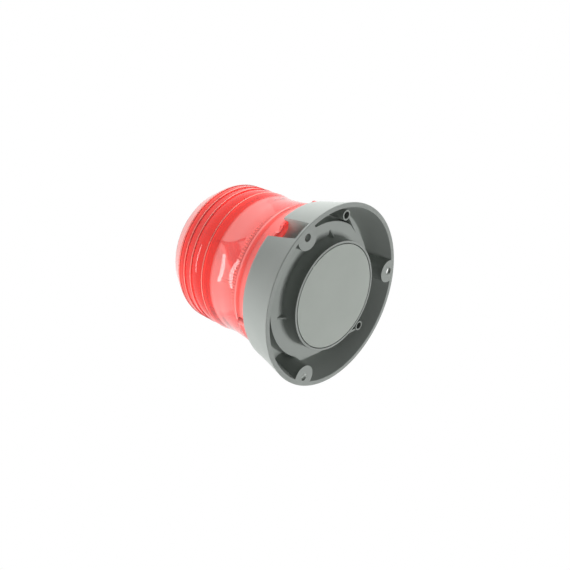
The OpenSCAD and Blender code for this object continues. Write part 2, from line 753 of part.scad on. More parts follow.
module bearing_post() color([0.78, 0.79, 0.80]) {
    shoulder_ring_h = 6;
    post_bevel = 0.6;
    difference() {
        union() {
            translate([0, 0, chassis_top]) cylinder(r = post_foot_r, h = post_foot_t);
            translate([0, 0, post_shoulder_z - shoulder_ring_h])
                cylinder(r = post_shoulder_r, h = shoulder_ring_h);
            translate([0, 0, chassis_top]) cylinder(r = post_r, h = post_top_z - chassis_top - post_bevel);
            translate([0, 0, post_top_z - post_bevel - tiny])
                cylinder(r1 = post_r, r2 = post_r - post_bevel, h = post_bevel);
        }
        translate([0, 0, chassis_top - 1]) cylinder(r = holder_r - 1.0, h = post_top_z);
        translate([0, 0, holder_z]) cylinder(r = holder_r, h = post_top_z);
        translate([0, 0, clip_z]) difference() {
            cylinder(r = post_r + 1, h = clip_t + small_gap);
            translate([0, 0, -1]) cylinder(r = post_r - clip_groove, h = clip_t + 3);
        }
        for (i = [0:2]) at_polar(post_screw_at, post_screw_a + 120 * i)
            translate([0, 0, chassis_top - 1]) cylinder(r = post_screw_r + tiny, h = post_foot_t + 2);
    }
}

module post_screws() color([0.75, 0.75, 0.77]) {
    for (i = [0:2]) at_polar(post_screw_at, post_screw_a + 120 * i)
        translate([0, 0, chassis_top + post_foot_t])
            screw_down(post_screw_r, post_foot_t + chassis_t + 1.2, 1.9, 1.4);
}

module lamp_holder() color([0.80, 0.68, 0.35]) {
    difference() {
        translate([0, 0, holder_z]) cylinder(r = holder_r - tiny, h = holder_l);
        translate([0, 0, holder_z - 1]) cylinder(r = holder_in_r, h = holder_l + 2);
        for (s = [0, 1]) rotate([0, 0, 45 + 180 * s]) {
            translate([0, -slot_r, pin_z]) cube([holder_r + 1, 2 * slot_r, holder_l]);
            translate([0, 0, pin_z]) rotate([0, 90, 0]) cylinder(r = slot_r, h = holder_r + 1);
        }
    }
}

module holder_insulator() color([0.45, 0.32, 0.2]) {
    translate([0, 0, insulator_z]) ring(holder_in_r - tiny, contact_stem_r + small_gap, insulator_t);
}

module lamp_contact() color([0.82, 0.7, 0.38]) {
    translate([0, 0, contact_top - contact_t]) cylinder(r = 2.6, h = contact_t);
    translate([0, 0, insulator_z - contact_stem])
        cylinder(r = contact_stem_r, h = contact_top - contact_t - insulator_z + contact_stem + tiny);
}

module contact_spring() color([0.7, 0.7, 0.72]) {
    translate([0, 0, insulator_z + insulator_t])
        ring(2.5, contact_stem_r + 0.25, contact_top - contact_t - insulator_z - insulator_t);
}

module bulb_cap() color([0.83, 0.72, 0.42]) {
    difference() {
        union() {
            translate([0, 0, cap_z]) cylinder(r1 = cap_r - 0.5, r2 = cap_r, h = cap_bevel);
            translate([0, 0, cap_z + cap_bevel - tiny]) cylinder(r = cap_r, h = cap_l - cap_bevel);
            for (s = [0, 1]) rotate([0, 0, 45 + 180 * s]) translate([0, 0, pin_z])
                rotate([0, 90, 0]) cylinder(r = 1.0, h = holder_r - 0.4);
            translate([0, 0, cap_z - 0.95]) cylinder(r = 2.2, h = 1.2);
        }
        translate([0, 0, cap_z + 2]) cylinder(r = cap_r - cap_wall, h = cap_l);
    }
}

// Radius of the bulb glass at a share t of its height
function bulb_r_at(t) = t < swell
    ? let (u = max(0, t - neck) / (swell - neck)) glass_neck_r + (bulb_r - glass_neck_r) * u * u * (3 - 2 * u)
    : bulb_r * sqrt(max(0, 1 - pow((t - swell) / (1 - swell), 2)));

// Outline of the bulb glass, or of its inside when off is the wall
function bulb_line(off) = [for (i = [0:bulb_steps]) let (t = i / bulb_steps)
    [i == bulb_steps ? 0 : bulb_r_at(t) - off, glass_z + (bulb_h - off * t) * t]];

module bulb_glass() color([0.95, 0.96, 0.97, 0.35]) {
    rotate_extrude($fn = 96) polygon(concat(
        bulb_line(0),
        [for (i = [bulb_steps:-1:0]) bulb_line(bulb_wall)[i]]));
}

module filament() color([0.55, 0.55, 0.57]) {
    stem_top = focus_z - 12;
    translate([0, 0, glass_z]) cylinder(r = glass_neck_r - bulb_wall - 0.1, h = 2);
    translate([0, 0, glass_z]) cylinder(r1 = 4, r2 = 1.6, h = stem_top - glass_z);
    for (s = [-1, 1]) {
        translate([s * 3, 0, stem_top - 6]) cylinder(r = 0.3, h = focus_z - stem_top + 6.3);
        translate([0, 0, stem_top - 5.8]) rotate([0, 90 * s, 0]) cylinder(r = 0.3, h = 3);
    }
    translate([-3, 0, focus_z]) rotate([0, 90, 0]) cylinder(r = 0.55, h = 6);
}

// A spur gear with straight-sided teeth, one tooth centred on +X
module gear_teeth(teeth, h) {
    pitch_r = gear_m * teeth / 2;
    tip_r = pitch_r + 0.8 * gear_m;
    root_r = pitch_r - 1.15 * gear_m;
    step_a = 360 / teeth;
    linear_extrude(h) polygon([for (i = [0:teeth - 1])
        for (q = [[-0.30, root_r], [-0.11, tip_r], [0.11, tip_r], [0.30, root_r]])
            q[1] * [cos((i + q[0]) * step_a), sin((i + q[0]) * step_a)]]);
}

module motor_can() color([0.7, 0.71, 0.72]) {
    difference() {
        translate([motor_xy[0], motor_xy[1], gear_plate_z - motor_l]) {
            cylinder(r = motor_r - motor_skin, h = motor_l);
            cylinder(r = motor_r, h = motor_l - motor_skin);
            translate([0, 0, motor_l - tiny]) cylinder(r = motor_nose_r, h = gear_plate_t - 0.2);
        }
        translate([motor_xy[0], motor_xy[1], gear_plate_z - motor_l - 1]) {
            cylinder(r = shaft_r + shaft_fit, h = motor_l + 10);
            cylinder(r = motor_r - motor_skin, h = motor_l - 0.6);
            for (s = [-1, 1]) rotate([0, 0, motor_line_a + 90]) translate([s * motor_screw_at, 0, 0])
                cylinder(r = motor_screw_r, h = motor_l + 10);
        }
    }
}

module motor_end_cap() color([0.12, 0.12, 0.13]) {
    translate([motor_xy[0], motor_xy[1], motor_cap_z]) difference() {
        union() {
            cylinder(r = motor_r - 0.4, h = motor_cap_t);
            translate([0, 0, motor_cap_t - tiny]) cylinder(r = motor_r - motor_skin - 0.05, h = 3);
            cylinder(r = motor_nose_r, h = 6);
        }
        translate([0, 0, 0.8]) cylinder(r = shaft_r + shaft_fit, h = 8);
        for (s = [-1, 1]) translate([0, s * terminal_y, 1.25])
            cube([terminal_size[0] + 0.1, terminal_size[1] + 0.1, 4.5], center = true);
    }
}

module motor_terminals() color([0.82, 0.7, 0.4]) {
    translate([motor_xy[0], motor_xy[1], motor_cap_z - terminal_out]) for (s = [-1, 1])
        translate([-terminal_size[0] / 2, s * terminal_y - terminal_size[1] / 2, 0]) difference() {
            cube(terminal_size);
            translate([-1, terminal_size[1] / 2, 0.9]) rotate([0, 90, 0]) cylinder(r = 0.45, h = 3);
        }
}

module motor_screws() color([0.75, 0.75, 0.77]) {
    translate([motor_xy[0], motor_xy[1], plate_top]) rotate([0, 0, motor_line_a + 90])
        for (s = [-1, 1]) translate([s * motor_screw_at, 0, 0])
            screw_down(motor_screw_r - tiny, motor_screw_l, 1.7, 0.8);
}

module motor_shaft() color([0.8, 0.8, 0.82]) {
    shaft_z = gear_plate_z - motor_l + 0.2;
    translate([motor_xy[0], motor_xy[1], shaft_z]) {
        cylinder(r = shaft_r, h = idler_wheel_z + idler_wheel_w + 0.8 - shaft_z);
        translate([0, 0, motor_l * 0.44]) cylinder(r = motor_r * 0.54, h = motor_l * 0.36);
    }
}

module motor_pinion() color([0.9, 0.9, 0.86]) {
    // A gap faces the idler, so that its wheel's tooth sits in it
    translate([motor_xy[0], motor_xy[1], idler_wheel_z - 0.3])
        difference() {
            rotate([0, 0, motor_line_a + 180 + 180 / motor_teeth])
                gear_teeth(motor_teeth, idler_wheel_w + 0.6);
            translate([0, 0, -1]) cylinder(r = shaft_r, h = idler_wheel_w + 3);
        }
}

module gear_plate() color([0.74, 0.75, 0.76]) {
    wedge_r = 70;
    a0 = pillar_at[0][1] - 6;
    a1 = pillar_at[1][1] + 6;
    mid_a = (a0 + a1) / 2;
    difference() {
        intersection() {
            translate([0, 0, gear_plate_z]) ring(step_in_r - 1.6, post_shoulder_r + 1.4, gear_plate_t);
            linear_extrude(60) polygon([[0, 0], wedge_r * [cos(a0), sin(a0)],
                wedge_r * 1.3 * [cos(mid_a), sin(mid_a)], wedge_r * [cos(a1), sin(a1)]]);
        }
        translate([motor_xy[0], motor_xy[1], 0]) {
            cylinder(r = motor_nose_r + 0.05, h = 60);
            rotate([0, 0, motor_line_a + 90]) for (s = [-1, 1]) translate([s * motor_screw_at, 0, 0])
                cylinder(r = motor_screw_r + small_gap, h = 60);
        }
        translate([idler_xy[0], idler_xy[1], 0]) cylinder(r = idler_pin_r, h = 60);
        for (p = pillar_at) at_polar(p[0], p[1]) cylinder(r = pillar_screw_r + small_gap, h = 60);
    }
}

module pillars() color([0.78, 0.79, 0.8]) {
    for (p = pillar_at) at_polar(p[0], p[1]) translate([0, 0, chassis_top])
        ring(pillar_r, pillar_screw_r, gear_plate_z - chassis_top);
}

module pillar_screws() color([0.75, 0.75, 0.77]) {
    for (p = pillar_at) at_polar(p[0], p[1]) {
        translate([0, 0, plate_top]) screw_down(pillar_screw_r - tiny, gear_plate_t + 5, 2.2, 0.9);
        translate([0, 0, chassis_z]) screw_up(pillar_screw_r - tiny, chassis_t + 5, 2.2, 1.4);
    }
}

// A thin pale wall round the drive, pushed over the chassis plate's edge
module drive_shroud() color([0.88, 0.87, 0.83]) {
    top = turntable_top - turntable_rim_h - 0.8;
    rotate_extrude($fn = 128) polygon([
        [chassis_r + tiny, chassis_z], [shroud_low_r, chassis_z], [shroud_low_r, shroud_bend_z],
        [shroud_in_r + shroud_t, shroud_bend_z + 1], [shroud_in_r + shroud_t, top], [shroud_in_r, top],
        [shroud_in_r, shroud_bend_z + 1], [shroud_low_r - shroud_t, shroud_bend_z],
        [shroud_low_r - shroud_t, chassis_top], [chassis_r + tiny, chassis_top]]);
}

module idler_pin() color([0.8, 0.8, 0.82]) {
    translate([idler_xy[0], idler_xy[1], 0]) difference() {
        union() {
            translate([0, 0, gear_plate_z - 0.8]) cylinder(r = pin_collar_r, h = 0.8);
            translate([0, 0, gear_plate_z - tiny])
                cylinder(r = idler_pin_r - tiny / 2, h = pin_top - gear_plate_z);
            translate([0, 0, plate_top]) cylinder(r = pin_collar_r, h = 0.7);
        }
        translate([0, 0, pin_top - 1.0]) difference() {
            cylinder(r = idler_pin_r + 1, h = 0.6);
            translate([0, 0, -1]) cylinder(r = idler_pin_r - pin_groove, h = 3);
        }
    }
}

module idler_clip() color([0.55, 0.55, 0.57]) {
    translate([idler_xy[0], idler_xy[1], pin_top - 0.95]) difference() {
        ring(pin_collar_r, idler_pin_r - pin_groove, 0.5);
        translate([0, -0.8, -1]) cube([5, 1.6, 3]);
    }
}

module idler_gear() color([0.93, 0.92, 0.86]) {
    top = rotor_gear_z + rotor_gear_w - 1.0;
    translate([idler_xy[0], idler_xy[1], 0]) difference() {
        union() {
            // A tooth faces the motor pinion
            translate([0, 0, idler_wheel_z]) rotate([0, 0, motor_line_a])
                gear_teeth(idler_wheel_teeth, idler_wheel_w);
            // A gap faces the rotor gear, whose tooth points this way
            translate([0, 0, idler_wheel_z]) rotate([0, 0, idler_a + 180 + 180 / idler_pinion_teeth])
                gear_teeth(idler_pinion_teeth, top - idler_wheel_z);
        }
        translate([0, 0, idler_wheel_z - 1]) cylinder(r = idler_pin_r + run_fit, h = 20);
    }
}

module thrust_washer() color([0.8, 0.8, 0.82]) {
    translate([0, 0, post_shoulder_z]) ring(post_shoulder_r, post_r + 0.15, washer_t);
}

module rotor_bush() color([0.72, 0.5, 0.28]) {
    translate([0, 0, rotor_gear_z]) ring(bush_out_r - tiny / 2, bush_in_r, turntable_top - rotor_gear_z);
}

module rotor_gear() color([0.94, 0.93, 0.88]) {
    difference() {
        union() {
            translate([0, 0, rotor_gear_z]) rotate([0, 0, idler_a]) gear_teeth(rotor_teeth, rotor_gear_w);
            translate([0, 0, rotor_gear_z])
                cylinder(r = turntable_screw_at + 3, h = turntable_z - rotor_gear_z);
            translate([0, 0, rotor_gear_z]) cylinder(r = hub_r, h = turntable_top - rotor_gear_z);
        }
        translate([0, 0, rotor_gear_z - 1]) cylinder(r = bush_out_r, h = 20);
        for (i = [0:2]) at_polar(turntable_screw_at, mirror_a + 120 * i)
            translate([0, 0, rotor_gear_z + 0.8]) cylinder(r = turntable_screw_r, h = 20);
    }
}

module turntable() color([0.86, 0.85, 0.81]) {
    root_r = turntable_r - turntable_tooth;
    step_a = 360 / turntable_teeth;
    difference() {
        union() {
            translate([0, 0, turntable_z]) cylinder(r = root_r - 1, h = turntable_t, $fn = 128);
            translate([0, 0, turntable_top - turntable_rim_h]) linear_extrude(turntable_rim_h)
                polygon([for (i = [0:turntable_teeth - 1])
                    for (q = [[-0.25, root_r], [0, turntable_r], [0.25, root_r]])
                        q[1] * [cos((i + q[0]) * step_a), sin((i + q[0]) * step_a)]]);
        }
        translate([0, 0, turntable_z - turntable_rim_h])
            cylinder(r = root_r - 1.4, h = turntable_rim_h, $fn = 128);
        translate([0, 0, turntable_z - 1]) cylinder(r = hub_r + tiny / 2, h = 10);
        for (i = [0:2]) at_polar(turntable_screw_at, mirror_a + 120 * i)
            translate([0, 0, turntable_z - 1]) cylinder(r = turntable_screw_r + 0.2, h = 5);
        rotate([0, 0, mirror_a]) for (s = [-1, 1])
            translate([foot_screw_x, s * foot_screw_y, turntable_z - 1])
                cylinder(r = foot_screw_r + tiny, h = 5);
    }
}

module turntable_screws() color([0.75, 0.75, 0.77]) {
    for (i = [0:2]) at_polar(turntable_screw_at, mirror_a + 120 * i)
        translate([0, 0, turntable_top]) screw_down(turntable_screw_r - tiny, 5.4, 1.9, 1.2);
}

module retaining_clip() color([0.5, 0.5, 0.52]) {
    translate([0, 0, clip_z + small_gap / 2]) difference() {
        ring(post_r + 1.9, post_r - clip_groove + 0.05, clip_t);
        translate([0, -2.5, -1]) cube([post_r + 5, 5, 3]);
    }
}

function dish_x(r) = r * r / (4 * mirror_f) - mirror_f;

function dish_back_x(r) = dish_x(r) - mirror_t * sqrt(1 + pow(r / 2 / mirror_f, 2));

module reflector() color([0.88, 0.88, 0.9]) {
    rotate([0, 0, mirror_a]) difference() {
        translate([0, 0, focus_z]) intersection() {
            rotate([0, 90, 0]) rotate_extrude($fn = 128) polygon(concat(
                [for (i = [0:mirror_steps]) let (r = mirror_rim * i / mirror_steps) [r, dish_x(r)]],
                [for (i = [mirror_steps:-1:0]) let (r = mirror_rim * i / mirror_steps) [r, dish_back_x(r)]]));
            cube([120, 2 * mirror_half_w, 2 * mirror_half_h], center = true);
        }
        // The bulb passes through a notch in the lower edge
        translate([0, 0, focus_z - mirror_half_h - 1]) cylinder(r = bulb_r + 1.6, h = mirror_half_h);
        for (s = [-1, 1]) translate([-mirror_f - 8, s * mirror_screw_y, focus_z]) rotate([0, 90, 0])
            cylinder(r = mirror_screw_r + 0.15, h = 12);
    }
}

module reflector_bracket() color([0.84, 0.83, 0.79]) {
    rib_t = 1.5;
    rib_h = 20;
    rib_y = bracket_half_w - rib_t / 2;
    boss_end_x = dish_back_x(mirror_screw_y - bracket_boss_r) - small_gap / 2;
    foot_back = bracket_back_x - bracket_t - (bracket_foot_x - bracket_foot_w / 2);
    rotate([0, 0, mirror_a]) difference() {
        union() {
            // Foot on the turntable, upright, and two bosses that hold the mirror
            translate([bracket_foot_x - bracket_foot_w / 2, -bracket_half_w, turntable_top])
                cube([bracket_foot_w, 2 * bracket_half_w, bracket_t]);
            translate([bracket_back_x - bracket_t, -bracket_half_w, turntable_top])
                cube([bracket_t, 2 * bracket_half_w, focus_z - turntable_top + 8]);
            for (s = [-1, 1]) {
                translate([bracket_back_x - tiny, s * mirror_screw_y, focus_z]) rotate([0, 90, 0])
                    cylinder(r = bracket_boss_r, h = boss_end_x - bracket_back_x);
                translate([bracket_back_x - bracket_t + tiny, s * rib_y + rib_t / 2, turntable_top])
                    rotate([90, 0, 0]) linear_extrude(rib_t)
                        polygon([[0, 0], [0, rib_h], [-foot_back, bracket_t], [-foot_back, 0]]);
            }
        }
        for (s = [-1, 1]) {
            translate([bracket_back_x - bracket_t - 1, s * mirror_screw_y, focus_z]) rotate([0, 90, 0])
                cylinder(r = mirror_screw_r, h = boss_end_x - bracket_back_x + bracket_t + 2);
            translate([foot_screw_x, s * foot_screw_y, turntable_top - 1])
                cylinder(r = foot_screw_r + tiny, h = bracket_t + 2);
        }
    }
}

module reflector_screws() color([0.75, 0.75, 0.77]) {
    rotate([0, 0, mirror_a]) for (s = [-1, 1]) {
        translate([bracket_back_x - bracket_t, s * mirror_screw_y, focus_z]) rotate([0, 90, 0])
            screw_up(mirror_screw_r - tiny, mirror_screw_l, 1.9, 1.2);
        translate([foot_screw_x, s * foot_screw_y, turntable_top + bracket_t])
            screw_down(foot_screw_r, bracket_t + turntable_t - 0.2, 1.9, 1.2);
    }
}

module terminal_block() color([0.9, 0.9, 0.86]) {
    translate([block_x, block_y, block_z]) difference() {
        translate([-block_size[0] / 2, -block_size[1] / 2, 0]) cube(block_size);
        for (s = [-1, 1]) {
            translate([0, s * pole_y, -1]) cylinder(r = 2.0, h = 4.2);
            translate([-10, s * pole_y, pole_z - block_z]) rotate([0, 90, 0]) cylinder(r = 1.5, h = 20);
        }
    }
}

module terminal_screws() color([0.82, 0.7, 0.4]) {
    for (s = [-1, 1]) translate([block_x, block_y + s * pole_y, block_z + 1.7])
        screw_up(1.2, 1.9, 1.85, 1.2);
}

module capacitor() color([0.75, 0.45, 0.2]) {
    translate([capacitor_at[0], capacitor_at[1], chassis_top]) {
        cylinder(r = 3, h = 0.4);
        translate([0, 0, 0.3]) cylinder(r = 4, h = 10);
    }
}

// A lead along points whose runs meet square, with a round bend at each inner point
module lead(points, r, bend) {
    last = len(points) - 1;
    for (i = [0:last - 1]) {
        d = (points[i + 1] - points[i]) / norm(points[i + 1] - points[i]);
        from = points[i] + d * (i == 0 ? 0 : bend);
        long = norm(points[i + 1] - points[i]) - (i == 0 ? 0 : bend) - (i == last - 1 ? 0 : bend);
        translate(from) rotate([0, acos(d[2]), atan2(d[1], d[0])]) cylinder(r = r, h = long);
    }
    if (last > 1) for (i = [1:last - 1]) {
        u = (points[i] - points[i - 1]) / norm(points[i] - points[i - 1]);
        v = (points[i + 1] - points[i]) / norm(points[i + 1] - points[i]);
        w = cross(-v, u);
        c = points[i] - bend * u + bend * v;
        multmatrix([[-v[0], u[0], w[0], c[0]], [-v[1], u[1], w[1], c[1]],
                [-v[2], u[2], w[2], c[2]], [0, 0, 0, 1]])
            rotate_extrude(angle = 90) translate([bend, 0]) circle(r = r);
    }
}

module inner_leads() color([0.75, 0.1, 0.1]) {
    lead(motor_lead, lead_r, lead_bend);
    lead(lamp_lead, lead_r, lead_bend);
    lead(earth_lead, lead_r, lead_bend);
}

housing_back();
housing_left();
housing_front();
step_floor();
grommet_floor();
cup_shell();
bottom_cover();
cover_seal();
lens();
lens_gasket();
lens_screws();
cable_grommet();
chassis_plate();
chassis_screws();
bearing_post();
post_screws();
lamp_holder();
holder_insulator();
lamp_contact();
contact_spring();
bulb_cap();
bulb_glass();
filament();
motor_can();
motor_end_cap();
motor_terminals();
motor_screws();
motor_shaft();
motor_pinion();
gear_plate();
pillars();
pillar_screws();
drive_shroud();
idler_pin();
idler_gear();
idler_clip();
thrust_washer();
rotor_bush();
rotor_gear();
turntable();
turntable_screws();
retaining_clip();
reflector();
reflector_bracket();
reflector_screws();
terminal_block();
terminal_screws();
capacitor();
inner_leads();
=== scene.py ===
# Rotating beacon light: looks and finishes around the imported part.
import json
import math

import bmesh
import bpy
from mathutils import Matrix, Vector


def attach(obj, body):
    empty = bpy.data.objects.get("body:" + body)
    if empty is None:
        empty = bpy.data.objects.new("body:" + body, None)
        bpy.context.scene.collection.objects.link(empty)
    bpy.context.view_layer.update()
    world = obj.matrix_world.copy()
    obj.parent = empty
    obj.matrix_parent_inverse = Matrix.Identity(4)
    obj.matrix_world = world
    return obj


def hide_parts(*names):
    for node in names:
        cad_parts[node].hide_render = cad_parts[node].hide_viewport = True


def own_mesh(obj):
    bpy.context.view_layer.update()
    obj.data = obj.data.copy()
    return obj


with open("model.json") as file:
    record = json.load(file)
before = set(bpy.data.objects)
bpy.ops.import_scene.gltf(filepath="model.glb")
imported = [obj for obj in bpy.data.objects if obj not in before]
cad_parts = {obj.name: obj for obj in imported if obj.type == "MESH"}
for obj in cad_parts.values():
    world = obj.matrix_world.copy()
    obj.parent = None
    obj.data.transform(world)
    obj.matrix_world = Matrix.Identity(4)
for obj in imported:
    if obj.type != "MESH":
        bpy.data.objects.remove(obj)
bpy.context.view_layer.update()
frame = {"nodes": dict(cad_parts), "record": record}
nodes = frame["nodes"]

MM = 0.001
SEGMENTS = 256  # round the axis of a large turned shell

# Driving sizes of the outer shells, in millimetres, as the part has them
RIM_R, SKIRT_H, SKIRT_WALL, SKIRT_BOW = 65.0, 28.6, 3.4, 0.35
RIM_INSET = 0.02  # keeps the dressed rim within the CAD's box
LIP_IN_R, LIP_OUT_R, LIP_ROUND, RIM_ROUND = 56.5, 58.5, 1.4, 0.7
DECK_Z, DECK_T = 24.7, 3.0
STEP_R, STEP_DRAFT, STEP_IN_R, STEP_Z, FLOOR_TOP = 49.0, 0.8, 47.0, 12.4, 14.9
CUP_R, CUP_IN_R, LEDGE_IN_R, LEDGE_Z, LEDGE_TOP = 39.0, 37.4, 35.0, 3.6, 5.6
STEP_FILLET, HOUSING_ROUND = 1.2, 0.3
BOLT_R, BOLT_HOLE_R, PAD_T = 58.5, 2.65, 2.2
POCKET_R, POCKET_DRAFT, POCKET_WALL = 6.9, 1.3, 1.6
BOLT_ANGLES = (60, 180, 300)
TUBE_AT, TUBE_R, TUBE_BORE_R, TUBE_SEAT_Z = 54.3, 3.6, 2.55, 17.0
# The height of each screw tube's face, by the tube's angle
TUBE_FACES = {107: 7.2, 227: 12.8, 347: 7.2}
WEB_T, WEB_INSET = 1.6, 0.5
LENS_SCREW_R, LENS_SCREW_CLEAR, PILOT_CLEAR = 1.3, 0.35, 0.01
GUSSET_ANGLES = (106, 233, 338)
GUSSET_T, GUSSET_H, GUSSET_W, GUSSET_FOOT_W, GUSSET_ROOT = 1.2, 4.2, 4.4, 0.8, 0.5
CHASSIS_BOSS_ANGLES = (10, 130, 250)
CHASSIS_BOSS_AT, CHASSIS_BOSS_R, CHASSIS_BOSS_H, CHASSIS_BORE_R = 42.0, 3.2, 4.0, 1.1
GROMMET_AT, GROMMET_R = 43.6, 2.9
COVER_R, COVER_T, KEY_ANGLE, KEY_W = 36.85, 2.6, 291.5, 1.6
TONGUES, TONGUE_T, TONGUE_W, TONGUE_HOOK, TONGUE_ANGLE = 3, 1.2, 8.0, 0.9, 30
FLANGE_Z, FLANGE_R, FLANGE_IN_R, FLANGE_T = 25.5, 56.2, 47.0, 2.5
FOOT_R, FOOT_Z, WAIST_R, WAIST_Z = 54.3, 39.5, 52.1, 62.0
RING_R, RING_Z, FOCUS_Z = 53.3, 68.3, 82.5
RING_LOW_Z, RING_HIGH_Z, RING_LAST_Z, CORNER_Z = 76.65, 88.35, 95.15, 100.75
SHOULDER_H, SHOULDER_A, CORNER_ROUND, CROWN_ROUND, CROWN_H = 12.4, 28.0, 5.0, 6.0, 1.2
GROOVE_DEPTH, GROOVE_RISER, RING_BULGE = 0.7, 0.8, 0.53
LENS_WALL, LENS_THICK = 2.0, 3.0
FLUTES, FLUTE_DEPTH, FLUTE_START = 120, 0.12, 4.0
LENS_BOSS_H, LENS_BOSS_R, LENS_BOSS_TAPER, LENS_BOSS_CLEAR, NOTCH_R = 12.0, 2.9, 0.3, 0.3, 4.1


# --- small geometry helpers -------------------------------------------------
def polar(r, a):
    """The point at radius r and angle a, in degrees."""
    t = math.radians(a)
    return Vector((r * math.cos(t), r * math.sin(t), 0))


def rounded(points, steps=5):
    """A closed outline from (x, y, fillet radius) corners, with an arc at each rounded corner."""
    out = []
    n = len(points)
    for i, (x, y, radius) in enumerate(points):
        p = Vector((x, y))
        if radius <= 0:
            out.append((x, y))
            continue
        a = Vector(points[i - 1][:2]) - p
        b = Vector(points[(i + 1) % n][:2]) - p
        la, lb = a.length, b.length
        a.normalize()
        b.normalize()
        half = math.acos(max(-1, min(1, a.dot(b)))) / 2
        run = min(radius / math.tan(half), la * 0.49, lb * 0.49)
        r = run * math.tan(half)
        centre = p + (a + b).normalized() * (r / math.sin(half))
        start, end = p + a * run - centre, p + b * run - centre
        turn = start.angle_signed(end)
        for k in range(steps + 1):
            v = start.copy()
            v.rotate(Matrix.Rotation(-turn * k / steps, 2))
            out.append(tuple(centre + v))
    return out


def new_object(name, bm, outward=True):
    """Turns the faces outward, where asked, and puts the mesh into the scene."""
    if outward:
        bmesh.ops.recalc_face_normals(bm, faces=bm.faces)
    mesh = bpy.data.meshes.new(name)
    bm.to_mesh(mesh)
    bm.free()
    obj = bpy.data.objects.new(name, mesh)
    bpy.context.scene.collection.objects.link(obj)
    return obj


def lathe(name, outline, segments=SEGMENTS, radius_at=None):
    """A solid turned round Z from a closed outline of (r, z) in millimetres. Points on the axis are poles.
    radius_at(r, z, angle), where given, moves the points of the outline in and out round the axis."""
    bm = bmesh.new()
    rings = []
    for r, z in outline:
        if r < 1e-6:
            rings.append([bm.verts.new((0, 0, z * MM))])
            continue
        ring = []
        for k in range(segments):
            t = 2 * math.pi * k / segments
            q = radius_at(r, z, t) if radius_at else r
            ring.append(bm.verts.new((q * math.cos(t) * MM, q * math.sin(t) * MM, z * MM)))
        rings.append(ring)
    n = len(rings)
    for i in range(n):
        a, b = rings[i], rings[(i + 1) % n]
        if len(a) == 1 and len(b) == 1:
            continue
        for k in range(segments):
            m = (k + 1) % segments
            if len(a) == 1:
                bm.faces.new((a[0], b[m], b[k]))
            elif len(b) == 1:
                bm.faces.new((a[k], a[m], b[0]))
            else:
                bm.faces.new((a[k], a[m], b[m], b[k]))
    return new_object(name, bm)


def prism(name, outline, depth, matrix):
    """A flat outline in millimetres, pushed out by depth along its own Z and placed by matrix."""
    bm = bmesh.new()
    low = [bm.verts.new((x * MM, y * MM, 0)) for x, y in outline]
    high = [bm.verts.new((x * MM, y * MM, depth * MM)) for x, y in outline]
    bm.faces.new(low[::-1])
    bm.faces.new(high)
    n = len(low)
    for i in range(n):
        j = (i + 1) % n
        bm.faces.new((low[i], low[j], high[j], high[i]))
    bmesh.ops.transform(bm, matrix=matrix, verts=bm.verts)
    return new_object(name, bm)


def oblong(x0, x1, half):
    """The corners of a rectangle from x0 to x1, half its width on either side of the X axis."""
    return [(x0, -half), (x1, -half), (x1, half), (x0, half)]


def place(x=0.0, y=0.0, z=0.0, turn=0.0):
    """A move in millimetres after a turn round Z in degrees."""
    return Matrix.Translation(Vector((x, y, z)) * MM) @ Matrix.Rotation(math.radians(turn), 4, "Z")


def moved(obj, matrix):
    """Moves the mesh itself, so that the object stays at the frame's origin."""
    obj.data.transform(matrix)
    return obj


def post(name, r, z0, z1, at, segments=48):
    """An upright cylinder from z0 to z1."""
    return moved(lathe(name, [(0, z0), (r, z0), (r, z1), (0, z1)], segments), place(at.x, at.y))


def bake(obj):
    """Applies the modifiers of an object of the script's own."""
    graph = bpy.context.evaluated_depsgraph_get()
    mesh = bpy.data.meshes.new_from_object(obj.evaluated_get(graph))
    obj.modifiers.clear()
    obj.data = mesh


def combine(target, others, operation):
    """Unites, cuts or intersects target with each of the others, which are used up."""
    for other in others:
        mod = target.modifiers.new("combine", "BOOLEAN")
        mod.operation = operation
        mod.solver = "EXACT"
        mod.object = other
    bake(target)
    for other in others:
        bpy.data.objects.remove(other)
    return target


def bevel(obj, width, angle):
    """Rounds the edges that turn by more than angle, in degrees, by width millimetres."""
    mod = obj.modifiers.new("edge", "BEVEL")
    mod.width = width * MM
    mod.segments = 2
    mod.limit_method = "ANGLE"
    mod.angle_limit = math.radians(angle)


def smooth(obj, angle=35):
    """Shades smooth up to this angle between faces, in degrees."""
    obj.data.shade_smooth()
    obj.data.set_sharp_from_angle(angle=math.radians(angle))
    mod = obj.modifiers.new("normals", "WEIGHTED_NORMAL")
    mod.keep_sharp = True
    return obj


# --- materials ---------------------------------------------------------------
# Noise scales, in cycles a metre: clouds of colour, patches of shine and the finest marks
PLASTIC_CLOUD, PLASTIC_PATCH, PLASTIC_GRAIN = 38, 60, 2600
METAL_CLOUD, METAL_PATCH, METAL_MARKS = 250, 420, 1900
CLEAR_PATCH = 90


def material(name):
    """A new material, its node tree and its shader."""
    mat = bpy.data.materials.new(name)
    mat.use_nodes = True
    tree = mat.node_tree
    return mat, tree, tree.nodes["Principled BSDF"]


def noise(tree, scale, detail=3.0, rough=0.5):
    """A cloudy value from 0 to 1 in the object's own space, with scale in cycles a metre."""
    coords = tree.nodes.new("ShaderNodeTexCoord")
    node = tree.nodes.new("ShaderNodeTexNoise")
    node.inputs["Scale"].default_value = scale
    node.inputs["Detail"].default_value = detail
    node.inputs["Roughness"].default_value = rough
    tree.links.new(coords.outputs["Object"], node.inputs["Vector"])
    return node.outputs["Fac"]


